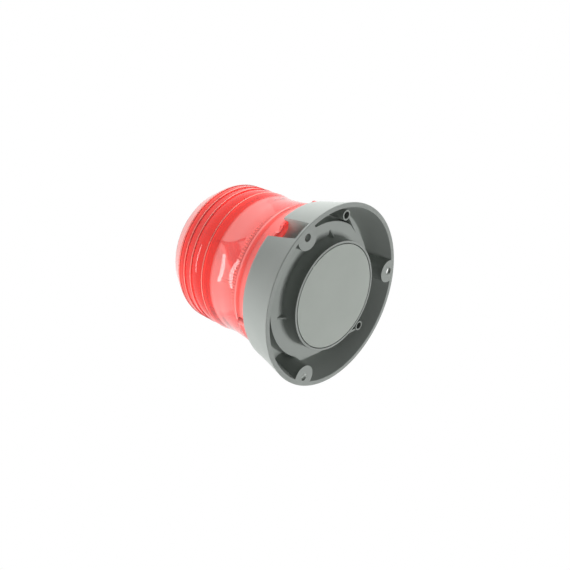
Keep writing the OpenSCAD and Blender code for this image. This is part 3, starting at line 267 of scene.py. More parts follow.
def spread(tree, value, low, high, start=0.3, end=0.7):
    """Maps a 0..1 value to a range of numbers, with its ends at start and end."""
    node = tree.nodes.new("ShaderNodeMapRange")
    node.inputs["From Min"].default_value = start
    node.inputs["From Max"].default_value = end
    node.inputs["To Min"].default_value = low
    node.inputs["To Max"].default_value = high
    tree.links.new(value, node.inputs["Value"])
    return node.outputs["Result"]


def blended(tree, value, first, second):
    """A colour between the two, by a value from 0 to 1."""
    node = tree.nodes.new("ShaderNodeMix")
    node.data_type = "RGBA"
    node.inputs["A"].default_value = (*first, 1)
    node.inputs["B"].default_value = (*second, 1)
    tree.links.new(value, node.inputs["Factor"])
    return node.outputs["Result"]


def bumped(tree, shader, height, distance):
    """Raises the surface by a height from 0 to 1, times distance in metres."""
    node = tree.nodes.new("ShaderNodeBump")
    node.inputs["Strength"].default_value = 1.0
    node.inputs["Distance"].default_value = distance
    tree.links.new(height, node.inputs["Height"])
    tree.links.new(node.outputs["Normal"], shader.inputs["Normal"])


def shades(tree, colour, change, scale):
    """The colour in clouds that are lighter and darker than it by the share change."""
    light = tuple(min(1, c * (1 + change)) for c in colour)
    dark = tuple(c * (1 - change) for c in colour)
    return blended(tree, spread(tree, noise(tree, scale, 4), 0, 1), dark, light)


def moulded(name, colour, roughness, change, grain=0.00002, specular=0.5):
    """Moulded plastic: a faint cloudiness, a fine spark-eroded grain and patches that shine a little more."""
    mat, tree, shader = material(name)
    tree.links.new(shades(tree, colour, change, PLASTIC_CLOUD), shader.inputs["Base Color"])
    shine = spread(tree, noise(tree, PLASTIC_PATCH, 3), roughness - 0.05, roughness + 0.07)
    tree.links.new(shine, shader.inputs["Roughness"])
    shader.inputs["Specular IOR Level"].default_value = specular
    bumped(tree, shader, noise(tree, PLASTIC_GRAIN, 2, 0.6), grain)
    return mat


def metal(name, colour, roughness, change=0.05, marks=0.00001):
    """Plain metal with cloudy roughness and fine marks."""
    mat, tree, shader = material(name)
    tree.links.new(shades(tree, colour, change, METAL_CLOUD), shader.inputs["Base Color"])
    shine = spread(tree, noise(tree, METAL_PATCH, 5), roughness - 0.07, roughness + 0.1)
    tree.links.new(shine, shader.inputs["Roughness"])
    shader.inputs["Metallic"].default_value = 1.0
    bumped(tree, shader, noise(tree, METAL_MARKS, 3), marks)
    return mat


def banded(tree, stops_at):
    """A colour that changes with the height over the rim, from (height in millimetres, colour) pairs."""
    coords = tree.nodes.new("ShaderNodeTexCoord")
    split = tree.nodes.new("ShaderNodeSeparateXYZ")
    tree.links.new(coords.outputs["Object"], split.inputs[0])
    top = stops_at[-1][0]
    ramp = tree.nodes.new("ShaderNodeValToRGB")
    stops = ramp.color_ramp.elements
    while len(stops) < len(stops_at):
        stops.new(0.5)
    for stop, (z, colour) in zip(stops, stops_at):
        stop.position = z / top
        stop.color = (*colour, 1)
    tree.links.new(spread(tree, split.outputs["Z"], 0, 1, 0, top * MM), ramp.inputs["Fac"])
    return ramp.outputs["Color"]


def lens_tints_and_highlights(tree, shader):
    """Colours the lens in bands. It is a little milky, more so in its foot, and has painted highlights along
    its edges: pale bands, less clear than the rest, where the real edges catch the light.
    """
    milk_and_highlight_at = [(0, FOOT_MILK), (FOOT_MILK_Z, FOOT_MILK), (FOOT_MILK_Z + 1, BODY_MILK)]
    for z, share in LENS_EDGE_HIGHLIGHTS:
        milk_and_highlight_at += [(z - HIGHLIGHT_HALF, BODY_MILK), (z - HIGHLIGHT_CORE, share)]
        milk_and_highlight_at += [(z + HIGHLIGHT_CORE, share), (z + HIGHLIGHT_HALF, BODY_MILK)]
    milk_and_highlight_at.append((LENS_TOP, BODY_MILK))
    milk_and_highlight = banded(tree, [(z, (share,) * 3) for z, share in milk_and_highlight_at])
    # Painted highlights: where the bands along the edges are, the colour turns to their pale red and less of
    # the lens lets light through
    tint = blended(tree, spread(tree, milk_and_highlight, 0, 1, FOOT_MILK, 1), (0, 0, 0), EDGE_HIGHLIGHT_RED)
    tree.links.new(banded(tree, LENS_BANDS), tint.node.inputs["A"])
    tree.links.new(tint, shader.inputs["Base Color"])
    tree.links.new(spread(tree, milk_and_highlight, 1, 0, 0, 1), shader.inputs["Transmission Weight"])


def see_through(name, ior, roughness, tint=None, shadow=(1, 1, 1), absorb=None):
    """Clear moulded plastic or glass, which lets the lamps' light through to what is inside it.
    Without a tint it has the lens's bands. absorb, where given, is the colour and density of its body."""
    mat, tree, shader = material(name)
    if tint:
        shader.inputs["Base Color"].default_value = (*tint, 1)
        shader.inputs["Transmission Weight"].default_value = 1.0
    else:
        lens_tints_and_highlights(tree, shader)
    shader.inputs["IOR"].default_value = ior
    shine = spread(tree, noise(tree, CLEAR_PATCH, 3), roughness * 0.6, roughness * 1.4)
    tree.links.new(shine, shader.inputs["Roughness"])
    path = tree.nodes.new("ShaderNodeLightPath")
    clear = tree.nodes.new("ShaderNodeBsdfTransparent")
    clear.inputs["Color"].default_value = (*shadow, 1)
    mix = tree.nodes.new("ShaderNodeMixShader")
    out = tree.nodes["Material Output"]
    tree.links.new(path.outputs["Is Shadow Ray"], mix.inputs["Fac"])
    tree.links.new(shader.outputs["BSDF"], mix.inputs[1])
    tree.links.new(clear.outputs["BSDF"], mix.inputs[2])
    tree.links.new(mix.outputs["Shader"], out.inputs["Surface"])
    if absorb:
        colour, density = absorb
        volume = tree.nodes.new("ShaderNodeVolumeAbsorption")
        volume.inputs["Color"].default_value = (*colour, 1)
        volume.inputs["Density"].default_value = density
        tree.links.new(volume.outputs["Volume"], out.inputs["Volume"])
    return mat


HOUSING_GREY, COVER_GREY = (0.35, 0.375, 0.355), (0.42, 0.455, 0.42)
PALE_RED, DEEP_RED, END_RED = (1.0, 0.52, 0.50), (0.92, 0.055, 0.03), (0.99, 0.66, 0.63)
# The last colour on the next line is the pale red of the painted highlights along the lens's edges
FOOT_RED, LOW_RED, EDGE_HIGHLIGHT_RED = (0.90, 0.18, 0.15), (1.0, 0.43, 0.41), (1.0, 0.44, 0.37)
LENS_TOP = 118
# The lens's colour by height: a deep line at the foot, a pale waist and a deep band of rings
LENS_BANDS = ((0, LOW_RED), (35, LOW_RED), (37, FOOT_RED), (39, FOOT_RED), (40.5, LOW_RED), (49, LOW_RED),
              (56, PALE_RED), (RING_Z - 0.4, PALE_RED), (RING_Z + 0.4, DEEP_RED), (CORNER_Z, DEEP_RED),
              (CORNER_Z + 2, END_RED), (LENS_TOP, END_RED))
# How milky the lens is in its foot and in the rest of it, and the painted highlights along each edge, pale
# and less clear, by the edge's height
FOOT_MILK, FOOT_MILK_Z, BODY_MILK = 0.35, 36.0, 0.1
LENS_EDGE_HIGHLIGHTS = ((RING_Z, 0.4), (RING_LOW_Z - 0.3, 0.9), (RING_HIGH_Z + 0.5, 0.9), (RING_LAST_Z + 0.5, 0.9),
              (CORNER_Z + 0.5, 0.7))
# The half width of each painted highlight band, and of its core of full strength, in millimetres
HIGHLIGHT_HALF, HIGHLIGHT_CORE = 0.5, 0.35
# What the lens leaves of the light that passes it, and what its body takes out of what is seen through it
LENS_SHADOW, LENS_BODY, LENS_DENSITY = (0.99, 0.80, 0.78), (0.998, 0.22, 0.20), 110

# A plastic or metal slot has its colour, its roughness and the share by which its colour changes
MATERIALS = {
    "housing_plastic": moulded("housing_plastic", HOUSING_GREY, 0.42, 0.03, specular=0.3),
    "cover_plastic": moulded("cover_plastic", COVER_GREY, 0.45, 0.03),
    "lens_red": see_through("lens_red", 1.49, 0.04, shadow=LENS_SHADOW, absorb=(LENS_BODY, LENS_DENSITY)),
    "rubber": moulded("rubber", (0.03, 0.03, 0.03), 0.7, 0.15, 0.00003, 0.3),
    "steel": metal("steel", (0.62, 0.62, 0.63), 0.25),
    "zinc_steel": metal("zinc_steel", (0.66, 0.66, 0.64), 0.35, 0.1),
    "aluminium": metal("aluminium", (0.78, 0.79, 0.80), 0.32),
    "brass": metal("brass", (0.80, 0.60, 0.28), 0.3, 0.1),
    "bronze": metal("bronze", (0.55, 0.33, 0.15), 0.5, 0.15),
    "fibre": moulded("fibre", (0.20, 0.10, 0.04), 0.6, 0.2),
    "bulb_glass": see_through("bulb_glass", 1.5, 0.02, tint=(0.98, 0.985, 0.99)),
    "tungsten": metal("tungsten", (0.35, 0.35, 0.36), 0.45),
    "pale_plastic": moulded("pale_plastic", (0.78, 0.76, 0.72), 0.4, 0.04),
    "black_plastic": moulded("black_plastic", (0.03, 0.03, 0.032), 0.4, 0.1),
    "gear_plastic": moulded("gear_plastic", (0.78, 0.76, 0.68), 0.4, 0.04),
    "mirror": metal("mirror", (0.90, 0.90, 0.91), 0.08, 0.01, 0.000002),
    "capacitor_skin": moulded("capacitor_skin", (0.50, 0.14, 0.02), 0.25, 0.1),
    "lead_skin": moulded("lead_skin", (0.45, 0.02, 0.015), 0.35, 0.08),
}


def finish(obj, slot):
    """Gives an object its slot's material."""
    obj.data.materials.clear()
    obj.data.materials.append(MATERIALS[slot])


def piece(obj, slot, body, *stands_for):
    """Finishes a new piece, which rides on body and stands for CAD nodes."""
    finish(obj, slot)
    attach(obj, body)
    if stands_for:
        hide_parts(*stands_for)


# --- the grey housing ----------------------------------------------------------
def skirt_r(z):
    """The skirt's outer radius at a height: a cone that is drawn in a little between rim and lip."""
    t = z / SKIRT_H
    return RIM_R - (RIM_R - LIP_OUT_R) * t - 4 * SKIRT_BOW * t * (1 - t)


def skirt_line(z0, z1, inset=0.0, steps=8):
    """Points down or up the skirt, an inset inside it."""
    heights = [z0 + (z1 - z0) * i / steps for i in range(steps + 1)]
    return [(skirt_r(z) - inset, z, 0) for z in heights]


def skirt_outside():
    """The outside of the base from the rim up to the lip, as corners for rounded()."""
    return ([(RIM_R - RIM_INSET, 0, RIM_ROUND)] + skirt_line(RIM_ROUND + 0.6, SKIRT_H - LIP_ROUND - 0.6)
            + [(skirt_r(SKIRT_H), SKIRT_H, LIP_ROUND)])


def housing_outline():
    return rounded(
        skirt_outside()
        + [
            (LIP_IN_R, SKIRT_H, 0.4),
            (LIP_IN_R, DECK_Z, 0.3),
            (STEP_IN_R, DECK_Z, 0.3),
            (STEP_IN_R, FLOOR_TOP, 0.6),
            (CUP_IN_R, FLOOR_TOP, 0.4),
            (CUP_IN_R, LEDGE_TOP, 0.3),
            (LEDGE_IN_R, LEDGE_TOP, 0.3),
            (LEDGE_IN_R, LEDGE_Z, 0.3),
            (CUP_IN_R, LEDGE_Z, 0.2),
            (CUP_IN_R, 0, 0.25),
            (CUP_R, 0, 0.3),
            (CUP_R, STEP_Z, STEP_FILLET),
            (STEP_R, STEP_Z, 0.35),
            (STEP_R + STEP_DRAFT, DECK_Z - DECK_T, 0.8),
            (skirt_r(DECK_Z - DECK_T) - SKIRT_WALL, DECK_Z - DECK_T, 1.0),
        ]
        + skirt_line(DECK_Z - DECK_T - 1.6, 1.0, SKIRT_WALL)
        + [(RIM_R - SKIRT_WALL, 0, 0.35)]
    )


def skirt_envelope():
    """All that lies inside the base's outside, which nothing in the base may pass."""
    return lathe("envelope", rounded([(0, 0, 0)] + skirt_outside() + [(0, SKIRT_H, 0)]))


def pocket_column(a):
    """The wall round a screw pocket."""
    c = polar(BOLT_R, a)
    r = POCKET_R + POCKET_WALL
    outline = [(0, 0), (r, 0), (r, PAD_T), (r + POCKET_DRAFT, DECK_Z - 0.3), (0, DECK_Z - 0.3)]
    return moved(lathe("column", outline, 96), place(c.x, c.y))


def pocket_cut(a):
    """The screw pocket with its slot, open through the skirt."""
    rise = SKIRT_H - PAD_T + 1
    grow = POCKET_DRAFT * rise / (DECK_Z - PAD_T)
    bm = bmesh.new()

    def ring(r, z, steps=40):
        turns = [math.radians(90 + 180 * k / steps) for k in range(steps + 1)]
        mouth = RIM_R - BOLT_R + 2
        corners = [(r * math.cos(t), r * math.sin(t)) for t in turns] + [(mouth, -r), (mouth, r)]
        return [bm.verts.new((x * MM, y * MM, z * MM)) for x, y in corners]

    low, high = ring(POCKET_R, PAD_T), ring(POCKET_R + grow, PAD_T + rise)
    bm.faces.new(low[::-1])
    bm.faces.new(high)
    for i in range(len(low)):
        j = (i + 1) % len(low)
        bm.faces.new((low[i], low[j], high[j], high[i]))
    c = polar(BOLT_R, a)
    return moved(new_object("pocket", bm), place(c.x, c.y, 0, a))


def tube_web(a):
    """The web that joins a screw tube to the step, on a tangent to both."""
    lean = math.degrees(math.asin((STEP_R - TUBE_R) / TUBE_AT))
    run = TUBE_AT * math.cos(math.radians(lean))
    outline = [(0, TUBE_FACES[a] + 1), (run, STEP_Z + 0.6), (run, DECK_Z - 1), (0, DECK_Z - 1)]
    upright = Matrix.Rotation(math.radians(90), 4, "Z") @ Matrix.Rotation(math.radians(90), 4, "X")
    seat = place(0, 0, 0, a) @ place(TUBE_AT, 0, 0, 90 - lean) @ place(TUBE_R - WEB_INSET - WEB_T)
    return prism("web", outline, WEB_T, seat @ upright)


def gusset(a):
    """A small three-cornered rib between the cup and the step."""
    outline = [(0, GUSSET_ROOT), (0, -GUSSET_H), (GUSSET_FOOT_W, -GUSSET_H), (GUSSET_W, 0),
               (GUSSET_W, GUSSET_ROOT)]
    upright = Matrix.Rotation(math.radians(90), 4, "X")
    seat = place(0, 0, 0, a) @ place(CUP_R - 0.05, GUSSET_T / 2, STEP_Z)
    return prism("gusset", outline, GUSSET_T, seat @ upright)


# The one grey moulding, which the CAD keeps as six nodes
HOUSING_NODES = ("housing_back", "housing_left", "housing_front", "step_floor", "grommet_floor", "cup_shell")


def housing_adds():
    """What stands on the turned shell: the pockets and tubes inside the skirt, the gussets and the bosses.
    Each reaches a little into the shell, so that they unite."""
    columns = [pocket_column(a) for a in BOLT_ANGLES]
    tubes = []
    for a, face_z in TUBE_FACES.items():
        tubes.append(post("tube", TUBE_R, face_z, DECK_Z - 0.2, polar(TUBE_AT, a), 64))
        tubes.append(tube_web(a))
    fill = combine(columns[0], columns[1:] + tubes, "UNION")
    combine(fill, [skirt_envelope()], "INTERSECT")
    gussets = [gusset(a) for a in GUSSET_ANGLES]
    low, high = FLOOR_TOP - 0.1, FLOOR_TOP + CHASSIS_BOSS_H
    bosses = [post("boss", CHASSIS_BOSS_R, low, high, polar(CHASSIS_BOSS_AT, a)) for a in CHASSIS_BOSS_ANGLES]
    return [fill] + gussets + bosses


def housing_cuts():
    """The pockets and all holes."""
    cuts = []
    for a in BOLT_ANGLES:
        cuts.append(pocket_cut(a))
        cuts.append(post("hole", BOLT_HOLE_R, -1, PAD_T + 1, polar(BOLT_R, a)))
    for a, face_z in TUBE_FACES.items():
        at = polar(TUBE_AT, a)
        cuts.append(post("bore", TUBE_BORE_R, face_z - 1, TUBE_SEAT_Z, at))
        cuts.append(post("through", LENS_SCREW_R + LENS_SCREW_CLEAR, TUBE_SEAT_Z - 1, DECK_Z + 3, at))
        cuts.append(post("relief", LENS_BOSS_R + LENS_BOSS_CLEAR, DECK_Z, SKIRT_H + 3, at, 64))
    for a in CHASSIS_BOSS_ANGLES:
        at = polar(CHASSIS_BOSS_AT, a)
        cuts.append(post("pilot", CHASSIS_BORE_R, FLOOR_TOP - 1, FLOOR_TOP + 6, at, 32))
    cuts.append(post("grommet_hole", GROMMET_R, STEP_Z - 1, FLOOR_TOP + 1, Vector((0, GROMMET_AT, 0))))
    return cuts


def make_housing():
    housing = lathe("housing", housing_outline())
    combine(housing, housing_adds(), "UNION")
    combine(housing, housing_cuts(), "DIFFERENCE")
    bevel(housing, HOUSING_ROUND, 32)
    bake(housing)
    piece(smooth(housing, 40), "housing_plastic", "base", *HOUSING_NODES)


make_housing()


# --- the bottom cover ------------------------------------------------------------
def cover_tongue(a):
    """One of the hooks that hold the cover on its ledge."""
    r = LEDGE_IN_R - 0.3
    low, seat, high = COVER_T - 0.05, LEDGE_TOP + 0.2, LEDGE_TOP + 1.6
    ring = lathe("tongues", [(r - TONGUE_T, low), (r, low), (r, seat), (r + TONGUE_HOOK, seat), (r, high),
                             (r - TONGUE_T, high)])
    block = prism("block", oblong(r - 5, r + 5, TONGUE_W / 2), 20, place(turn=a))
    return combine(ring, [block], "INTERSECT")


def make_cover():
    outline = rounded([(0, 0, 0), (COVER_R, 0, 0.35), (COVER_R, COVER_T, 0.3), (0, COVER_T, 0)])
    disc = lathe("cover", outline)
    key = prism("key", oblong(COVER_R - 1, COVER_R + 0.45, KEY_W / 2), COVER_T, place(turn=KEY_ANGLE))
    tongues = [cover_tongue(TONGUE_ANGLE + 360 / TONGUES * i) for i in range(TONGUES)]
    combine(disc, [key] + tongues, "UNION")
    piece(smooth(disc), "cover_plastic", "base", "bottom_cover")


make_cover()


# --- the red lens ------------------------------------------------------------------
def ring_face(z0, z1, steps=8):
    """The face of the wide lens ring between its two grooves, which bulges a little."""
    out = []
    for i in range(steps + 1):
        t = i / steps
        out.append((RING_R - GROOVE_DEPTH + RING_BULGE * 4 * t * (1 - t), z0 + (z1 - z0) * t, 0))
    return out


def lens_outline():
    """Outer side from the flange up to the crown, then the inner side down again."""
    tan_a, sin_a, cos_a = (f(math.radians(SHOULDER_A)) for f in (math.tan, math.sin, math.cos))
    corner_dr = CORNER_ROUND * (1 - cos_a)
    corner_dz = CORNER_ROUND * sin_a
    shoulder_end_r = RING_R - corner_dr - (SHOULDER_H - corner_dz) * tan_a
    crown_r = shoulder_end_r - CROWN_ROUND * cos_a
    crown_z = CORNER_Z + SHOULDER_H + CROWN_ROUND * (1 - sin_a)
    crown_turn = [math.radians(SHOULDER_A + (90 - SHOULDER_A) * i / 10) for i in range(11)]
    flange_top, neck_r, neck_z = FLANGE_Z + FLANGE_T, FOOT_R - 1, FOOT_Z + 2.5

    outside = [(FLANGE_IN_R, FLANGE_Z, 0.3), (FLANGE_R, FLANGE_Z, 0.3), (FLANGE_R, flange_top, 0.4),
               (FOOT_R, flange_top, 0.6), (FOOT_R, FOOT_Z, 0.8), (neck_r, neck_z, 0.8)]
    for i in range(1, 9):
        t = i / 8
        s = t * t * (3 - 2 * t)
        outside.append((neck_r - (neck_r - WAIST_R) * s, neck_z + (WAIST_Z - neck_z) * t, 0))
    outside += [(WAIST_R, RING_Z, 1.0), (RING_R, RING_LOW_Z, 0.25)]
    outside += ring_face(RING_LOW_Z + GROOVE_RISER, RING_HIGH_Z - GROOVE_RISER)
    outside += [(RING_R, RING_HIGH_Z, 0.25), (RING_R - GROOVE_DEPTH, RING_LAST_Z - GROOVE_RISER, 0.2),
                (RING_R, RING_LAST_Z, 0.25), (RING_R - GROOVE_DEPTH / 2, CORNER_Z - GROOVE_RISER, 0.2),
                (RING_R, CORNER_Z, 0.2)]
    for i in range(1, 7):
        a = math.radians(SHOULDER_A * i / 6)
        r = RING_R - CORNER_ROUND * (1 - math.cos(a))
        outside.append((r, CORNER_Z + CORNER_ROUND * math.sin(a), 0))
    for a in crown_turn:
        r = crown_r + CROWN_ROUND * math.cos(a)
        outside.append((r, crown_z - CROWN_ROUND * (1 - math.sin(a)), 0))
    for i in range(1, 9):
        t = i / 8
        outside.append((crown_r * (1 - t), crown_z + CROWN_H * (1 - (1 - t) ** 2), 0))

    inside = []
    for i in range(9):
        t = 1 - i / 8
        r = (crown_r - LENS_WALL / 2) * (1 - t)
        inside.append((r, crown_z - LENS_WALL + CROWN_H * (1 - (1 - t) ** 2), 0))
    inner_round = CROWN_ROUND - LENS_WALL
    for a in reversed(crown_turn):
        r = crown_r + inner_round * math.cos(a)
        inside.append((r, crown_z - CROWN_ROUND + inner_round * math.sin(a), 0))
    thick_r, thin_r, foot_in_r = RING_R - LENS_THICK, WAIST_R - LENS_WALL, FOOT_R - LENS_THICK
    inside += [(thick_r - 0.4, CORNER_Z + 0.8, 0.8), (thick_r, CORNER_Z - 1, 0.6),
               (thick_r, RING_LOW_Z - FLUTE_START, 1.0), (thin_r, RING_Z - 2, 1.0), (thin_r, WAIST_Z, 0),
               (foot_in_r, neck_z, 1.0), (foot_in_r, flange_top, 0.5), (FLANGE_IN_R, flange_top, 0.3)]
    return rounded(outside + inside)


def fluted(r, z, t):
    """Fine upright prisms on the inner face of the ring zone."""
    if not (RING_LOW_Z - FLUTE_START <= z <= CORNER_Z and r < RING_R - 2):
        return r
    return r - FLUTE_DEPTH * (0.5 + 0.5 * math.cos(FLUTES * t))


def lens_boss(a):
    """A tapered boss on the flange, which takes a lens screw."""
    low, high = FLANGE_Z + 0.2, FLANGE_Z + LENS_BOSS_H
    outline = rounded([(0, low, 0), (LENS_BOSS_R, low, 0), (LENS_BOSS_R - LENS_BOSS_TAPER, high, 0.9),
                       (0, high, 0)])
    c = polar(TUBE_AT, a)
    return moved(lathe("lens_boss", outline, 48), place(c.x, c.y))


def make_lens():
    lens = lathe("lens_shell", lens_outline(), FLUTES * 4, fluted)
    combine(lens, [lens_boss(a) for a in TUBE_FACES], "UNION")
    low, high = FLANGE_Z - 1, FLANGE_Z + LENS_BOSS_H - 2.5
    pilots = [post("lens_pilot", LENS_SCREW_R + PILOT_CLEAR, low, high, polar(TUBE_AT, a), 32)
              for a in TUBE_FACES]
    notches = [post("notch", NOTCH_R, low, FLANGE_Z + FLANGE_T + 1, polar(BOLT_R, a)) for a in BOLT_ANGLES]
    combine(lens, pilots + notches, "DIFFERENCE")
    piece(smooth(lens, 30), "lens_red", "base", "lens")


make_lens()


# --- screws, with a domed head and a cross recess ---------------------------------
record = frame["record"]
slot_of = {s["node"]: s["material_slot"] for s in record["subparts"]}
body_of = {n: b for b, names in record["behaviour"]["bodies"].items() for n in names}


def loose_parts(node):
    """The corners of each separate solid of a CAD node, in the part's frame and in millimetres."""
    mesh = node.data
    parent = list(range(len(mesh.vertices)))

    def root(i):
        while parent[i] != i:
            parent[i] = parent[parent[i]]
            i = parent[i]
        return i

    spots = {}
    for v in mesh.vertices:
        same = spots.setdefault(tuple(round(c, 7) for c in v.co), v.index)
        parent[root(v.index)] = root(same)
    for e in mesh.edges:
        parent[root(e.vertices[0])] = root(e.vertices[1])
    groups = {}
    for v in mesh.vertices:
        groups.setdefault(root(v.index), []).append(node.matrix_world @ v.co / MM)
    return list(groups.values())


def recessed_screw(points):
    """A pan-head screw with a cross recess, with the sizes of the plain one that these corners belong to."""
    low = [min(p[i] for p in points) for i in range(3)]
    high = [max(p[i] for p in points) for i in range(3)]
    k = max(range(3), key=lambda i: high[i] - low[i])
    others = [i for i in range(3) if i != k]
    middle = [(low[i] + high[i]) / 2 for i in range(3)]
    far = [(math.hypot(*(p[i] - middle[i] for i in others)), p[k]) for p in points]
    head_r = max(r for r, _ in far)
    wide = [t for r, t in far if r > head_r - 0.05]
    head_low = sum(wide) / len(wide) < middle[k]
    head_end = low[k] if head_low else high[k]
    tip = high[k] if head_low else low[k]
    seat = max(wide) if head_low else min(wide)
    shank_r = max(r for r, t in far if abs(t - tip) < 0.02)
    head_h, length = abs(seat - head_end), abs(tip - seat)
    end, chamfer = head_h + length, 0.25
    outline = rounded([(0, 0, 0), (head_r * 0.8, 0, 0.2), (head_r, head_h * 0.45, 0.25),
                       (head_r, head_h, 0.06), (shank_r, head_h, 0.05), (shank_r, end - chamfer, 0),
                       (shank_r - chamfer, end, 0), (0, end, 0)], 3)
    screw = lathe("screw", outline, 32)
    cross_arm = oblong(-head_r * 0.62, head_r * 0.62, head_r * 0.17)
    cuts = [prism("recess", cross_arm, head_h * 0.5 + 1, place(z=-1, turn=turn)) for turn in (20, 110)]
    combine(screw, cuts, "DIFFERENCE")
    if k == 2:
        turn = Matrix.Identity(4) if head_low else Matrix.Rotation(math.pi, 4, "X")
    else:
        turn = Matrix.Rotation(math.radians(90 if head_low else -90), 4, "Y")
    seat_at = Vector(middle)
    seat_at[k] = head_end
    return moved(screw, Matrix.Translation(seat_at * MM) @ turn)


def joined(name, objects):
    """One object out of several, which are used up."""
    bm = bmesh.new()
    for obj in objects:
        bm.from_mesh(obj.data)
        bpy.data.objects.remove(obj)
    return new_object(name, bm, outward=False)


for name in ("lens_screws", "chassis_screws", "post_screws", "motor_screws", "pillar_screws",
             "turntable_screws", "reflector_screws"):
    screws = [recessed_screw(part) for part in loose_parts(nodes[name])]
    fixings = joined(name.replace("screws", "fixings"), screws)
    piece(smooth(fixings), slot_of[name], body_of[name], name)


# --- wound pieces --------------------------------------------------------------------
def wound(name, path, wire_r, sides=8):
    """A round wire along a line of points in millimetres, with closed ends."""
    bm = bmesh.new()
    rings = []
    for i, p in enumerate(path):
        ahead = (path[min(i + 1, len(path) - 1)] - path[max(i - 1, 0)]).normalized()
        side = ahead.orthogonal() if not rings else (side - ahead * side.dot(ahead))
        side.normalize()
        over = ahead.cross(side)
        rings.append([bm.verts.new((p + (side * math.cos(t) + over * math.sin(t)) * wire_r) * MM)
                      for t in (2 * math.pi * k / sides for k in range(sides))])
    for a, b in zip(rings, rings[1:]):
        for k in range(sides):
            m = (k + 1) % sides
            bm.faces.new((a[k], a[m], b[m], b[k]))
    bm.faces.new(rings[0][::-1])
    bm.faces.new(rings[-1])
    return new_object(name, bm)


def make_contact_spring():
    """A wound spring between the insulator and the contact."""
    low, high, mean_r, wire_r, turns = 35.8, 40.7, 2.12, 0.3, 5
    flat_turns = 0.6  # at either end
    steps = turns * 20
    path = []
    for i in range(steps + 1):
        t = i / steps
        lift = min(1, max(0, (t * turns - flat_turns) / (turns - 2 * flat_turns)))
        a = 2 * math.pi * turns * t
        z = low + wire_r + (high - low - 2 * wire_r) * lift
        path.append(Vector((mean_r * math.cos(a), mean_r * math.sin(a), z)))
    spring = wound("coil_spring", path, wire_r)
    piece(smooth(spring, 50), "steel", "base", "contact_spring")
    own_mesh(spring)


# The lamp's support wires as (x, z), and its glass stem as (r, z, fillet radius)
LEG_PATH = ((0.6, 65.0), (2.0, 65.6), (2.8, 67.2), (3.0, 70), (3.0, 76), (3.0, 81.6), (2.95, FOCUS_Z + 0.3))
STEM_OUTLINE = ((0, 53.9, 0), (5.6, 53.9, 0.3), (5.4, 56, 1.0), (3.4, 60, 2), (1.5, 66.5, 1),
                (1.7, 69.6, 0.8), (0, 70.2, 0))
LEG_WIRE_R = 0.26


def make_filament():
    """A coiled filament between two hooked wires on a glass stem."""
    turns, coil_r, wire_r, half = 12, 0.42, 0.11, 2.9
    steps = turns * 14
    coil = []
    for i in range(steps + 1):
        a = 2 * math.pi * turns * i / steps
        x = -half + 2 * half * i / steps
        coil.append(Vector((x, coil_r * math.cos(a), FOCUS_Z + coil_r * math.sin(a))))
    parts = [wound("coil", coil, wire_r, 6)]
    for side in (-1, 1):
        parts.append(wound("leg", [Vector((side * x, 0, z)) for x, z in LEG_PATH], LEG_WIRE_R))
    piece(smooth(joined("coiled_filament", parts), 50), "tungsten", "base", "filament")
    stem = lathe("lamp_stem", rounded(STEM_OUTLINE, 4), 48)
    piece(smooth(stem, 50), "bulb_glass", "base")


make_contact_spring()
make_filament()


# --- CAD nodes that keep their shape ---------------------------------------------
EDGE_ROUND = 0.12
# The bulb, the toothed rim and the thin rings get no rounded edges
PLAIN_EDGES = ("bulb_glass", "turntable", "thrust_washer", "idler_clip", "retaining_clip")
for name, node in nodes.items():
    if node.hide_render:
        continue
    finish(node, slot_of[name])
    if name not in PLAIN_EDGES:
        bevel(node, EDGE_ROUND, 40)
    smooth(node)


# --- camera, light and background --------------------------------------------------
# The camera's place, turn and focal length in millimetres, fitted to the photo
CAMERA_AT = Vector((21.67, -376.94, -260.63)) * MM
CAMERA_RIGHT = Vector((0.36214, 0.60255, -0.7111))
CAMERA_UP = Vector((0.93026, -0.18587, 0.3162))
CAMERA_LENS, SENSOR_W = 43.09, 36
# The lamps stand at one distance from what they are turned to, all in metres
LAMP_AWAY = 0.9
LAMP_AIM, STREAK_AIM = Vector((0, 0, 0.055)), Vector((0, 0, 0.050))
WORLD_LIGHT = 0.03
FLOOR_R, FLOOR_GREY, FLOOR_ROUGHNESS = 0.6, 0.62, 0.9


def make_camera():
    """The camera, from where the photo was taken."""
    right = CAMERA_RIGHT.normalized()
    back = right.cross(CAMERA_UP).normalized()
    up = back.cross(right)
    data = bpy.data.cameras.new("camera")
    data.lens = CAMERA_LENS
    data.sensor_width = SENSOR_W
    data.clip_start = 0.01
    camera = bpy.data.objects.new("camera", data)
    turn = Matrix((right, up, back)).transposed().to_4x4()
    camera.matrix_world = Matrix.Translation(CAMERA_AT) @ turn
    bpy.context.scene.collection.objects.link(camera)
    bpy.context.scene.camera = camera


def make_lamp(name, direction, size, power):
    """A soft round lamp, which doesn't show in what shines."""
    data = bpy.data.lights.new(name, "AREA")
    data.shape = "DISK"
    data.size = size
    data.energy = power
    lamp = bpy.data.objects.new(name, data)
    lamp.location = LAMP_AIM + direction.normalized() * LAMP_AWAY
    lamp.rotation_euler = (LAMP_AIM - lamp.location).to_track_quat("-Z", "Y").to_euler()
    lamp.visible_glossy = False
    lamp.visible_transmission = False
    bpy.context.scene.collection.objects.link(lamp)


def make_streak(name, direction, size, power):
    """A long narrow lamp that only shows as a streak in what shines."""
    data = bpy.data.lights.new(name, "AREA")
    data.shape = "RECTANGLE"
    data.size, data.size_y = size
    data.energy = power
    lamp = bpy.data.objects.new(name, data)
    away = direction.normalized()
    across = away.cross(Vector((0, 0, 1))).normalized()
    over = away.cross(across)
    turn = Matrix((across, over, away)).transposed().to_4x4()
    lamp.matrix_world = Matrix.Translation(STREAK_AIM + away * LAMP_AWAY) @ turn
    lamp.visible_diffuse = False
    lamp.visible_transmission = False
    bpy.context.scene.collection.objects.link(lamp)


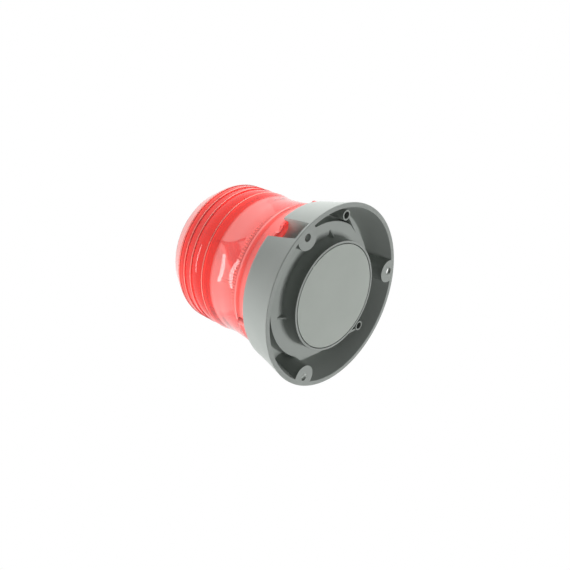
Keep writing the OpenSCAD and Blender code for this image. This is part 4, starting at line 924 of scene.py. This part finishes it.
def make_world():
    """White all round to the camera, in what shines and through what is clear, but only a faint light."""
    world = bpy.data.worlds.new("studio")
    bpy.context.scene.world = world
    world.use_nodes = True
    tree = world.node_tree
    path = tree.nodes.new("ShaderNodeLightPath")
    seen = path.outputs["Is Camera Ray"]
    for ray in ("Is Glossy Ray", "Is Transmission Ray"):
        either = tree.nodes.new("ShaderNodeMath")
        either.operation = "MAXIMUM"
        tree.links.new(seen, either.inputs[0])
        tree.links.new(path.outputs[ray], either.inputs[1])
        seen = either.outputs[0]
    background = tree.nodes["Background"]
    background.inputs["Color"].default_value = (1, 1, 1, 1)
    tree.links.new(spread(tree, seen, WORLD_LIGHT, 1.0, 0, 1), background.inputs["Strength"])


def make_floor():
    """A pale floor under the standing beacon. It shows, and takes shadows, only from above, because the
    photo's camera looks up from below it."""
    bm = bmesh.new()
    bmesh.ops.create_circle(bm, cap_ends=True, segments=96, radius=FLOOR_R)
    floor = new_object("floor", bm)
    if floor.data.polygons[0].normal.z < 0:
        floor.data.flip_normals()
    mat, tree, shader = material("floor")
    shader.inputs["Base Color"].default_value = (FLOOR_GREY, FLOOR_GREY, FLOOR_GREY, 1)
    shader.inputs["Roughness"].default_value = FLOOR_ROUGHNESS
    path = tree.nodes.new("ShaderNodeLightPath")
    geometry = tree.nodes.new("ShaderNodeNewGeometry")
    front = tree.nodes.new("ShaderNodeMath")
    front.operation = "SUBTRACT"
    front.use_clamp = True
    tree.links.new(path.outputs["Is Camera Ray"], front.inputs[0])
    tree.links.new(geometry.outputs["Backfacing"], front.inputs[1])
    clear = tree.nodes.new("ShaderNodeBsdfTransparent")
    mix = tree.nodes.new("ShaderNodeMixShader")
    tree.links.new(front.outputs[0], mix.inputs["Fac"])
    tree.links.new(clear.outputs["BSDF"], mix.inputs[1])
    tree.links.new(shader.outputs["BSDF"], mix.inputs[2])
    tree.links.new(mix.outputs["Shader"], tree.nodes["Material Output"].inputs["Surface"])
    floor.data.materials.append(mat)


make_camera()
make_world()
make_lamp("under", Vector((-0.05, 0.12, -1.0)), 0.32, 5.3)
make_lamp("left", Vector((-0.75, -0.45, 0.5)), 0.7, 11.5)
make_lamp("above", Vector((0.95, 0.15, 0.28)), 0.6, 19)
make_streak("streak", Vector((-0.29, -0.56, 0.70)), (0.5, 0.06), 0.6)
make_floor()

bpy.context.scene.view_settings.view_transform = "Standard"
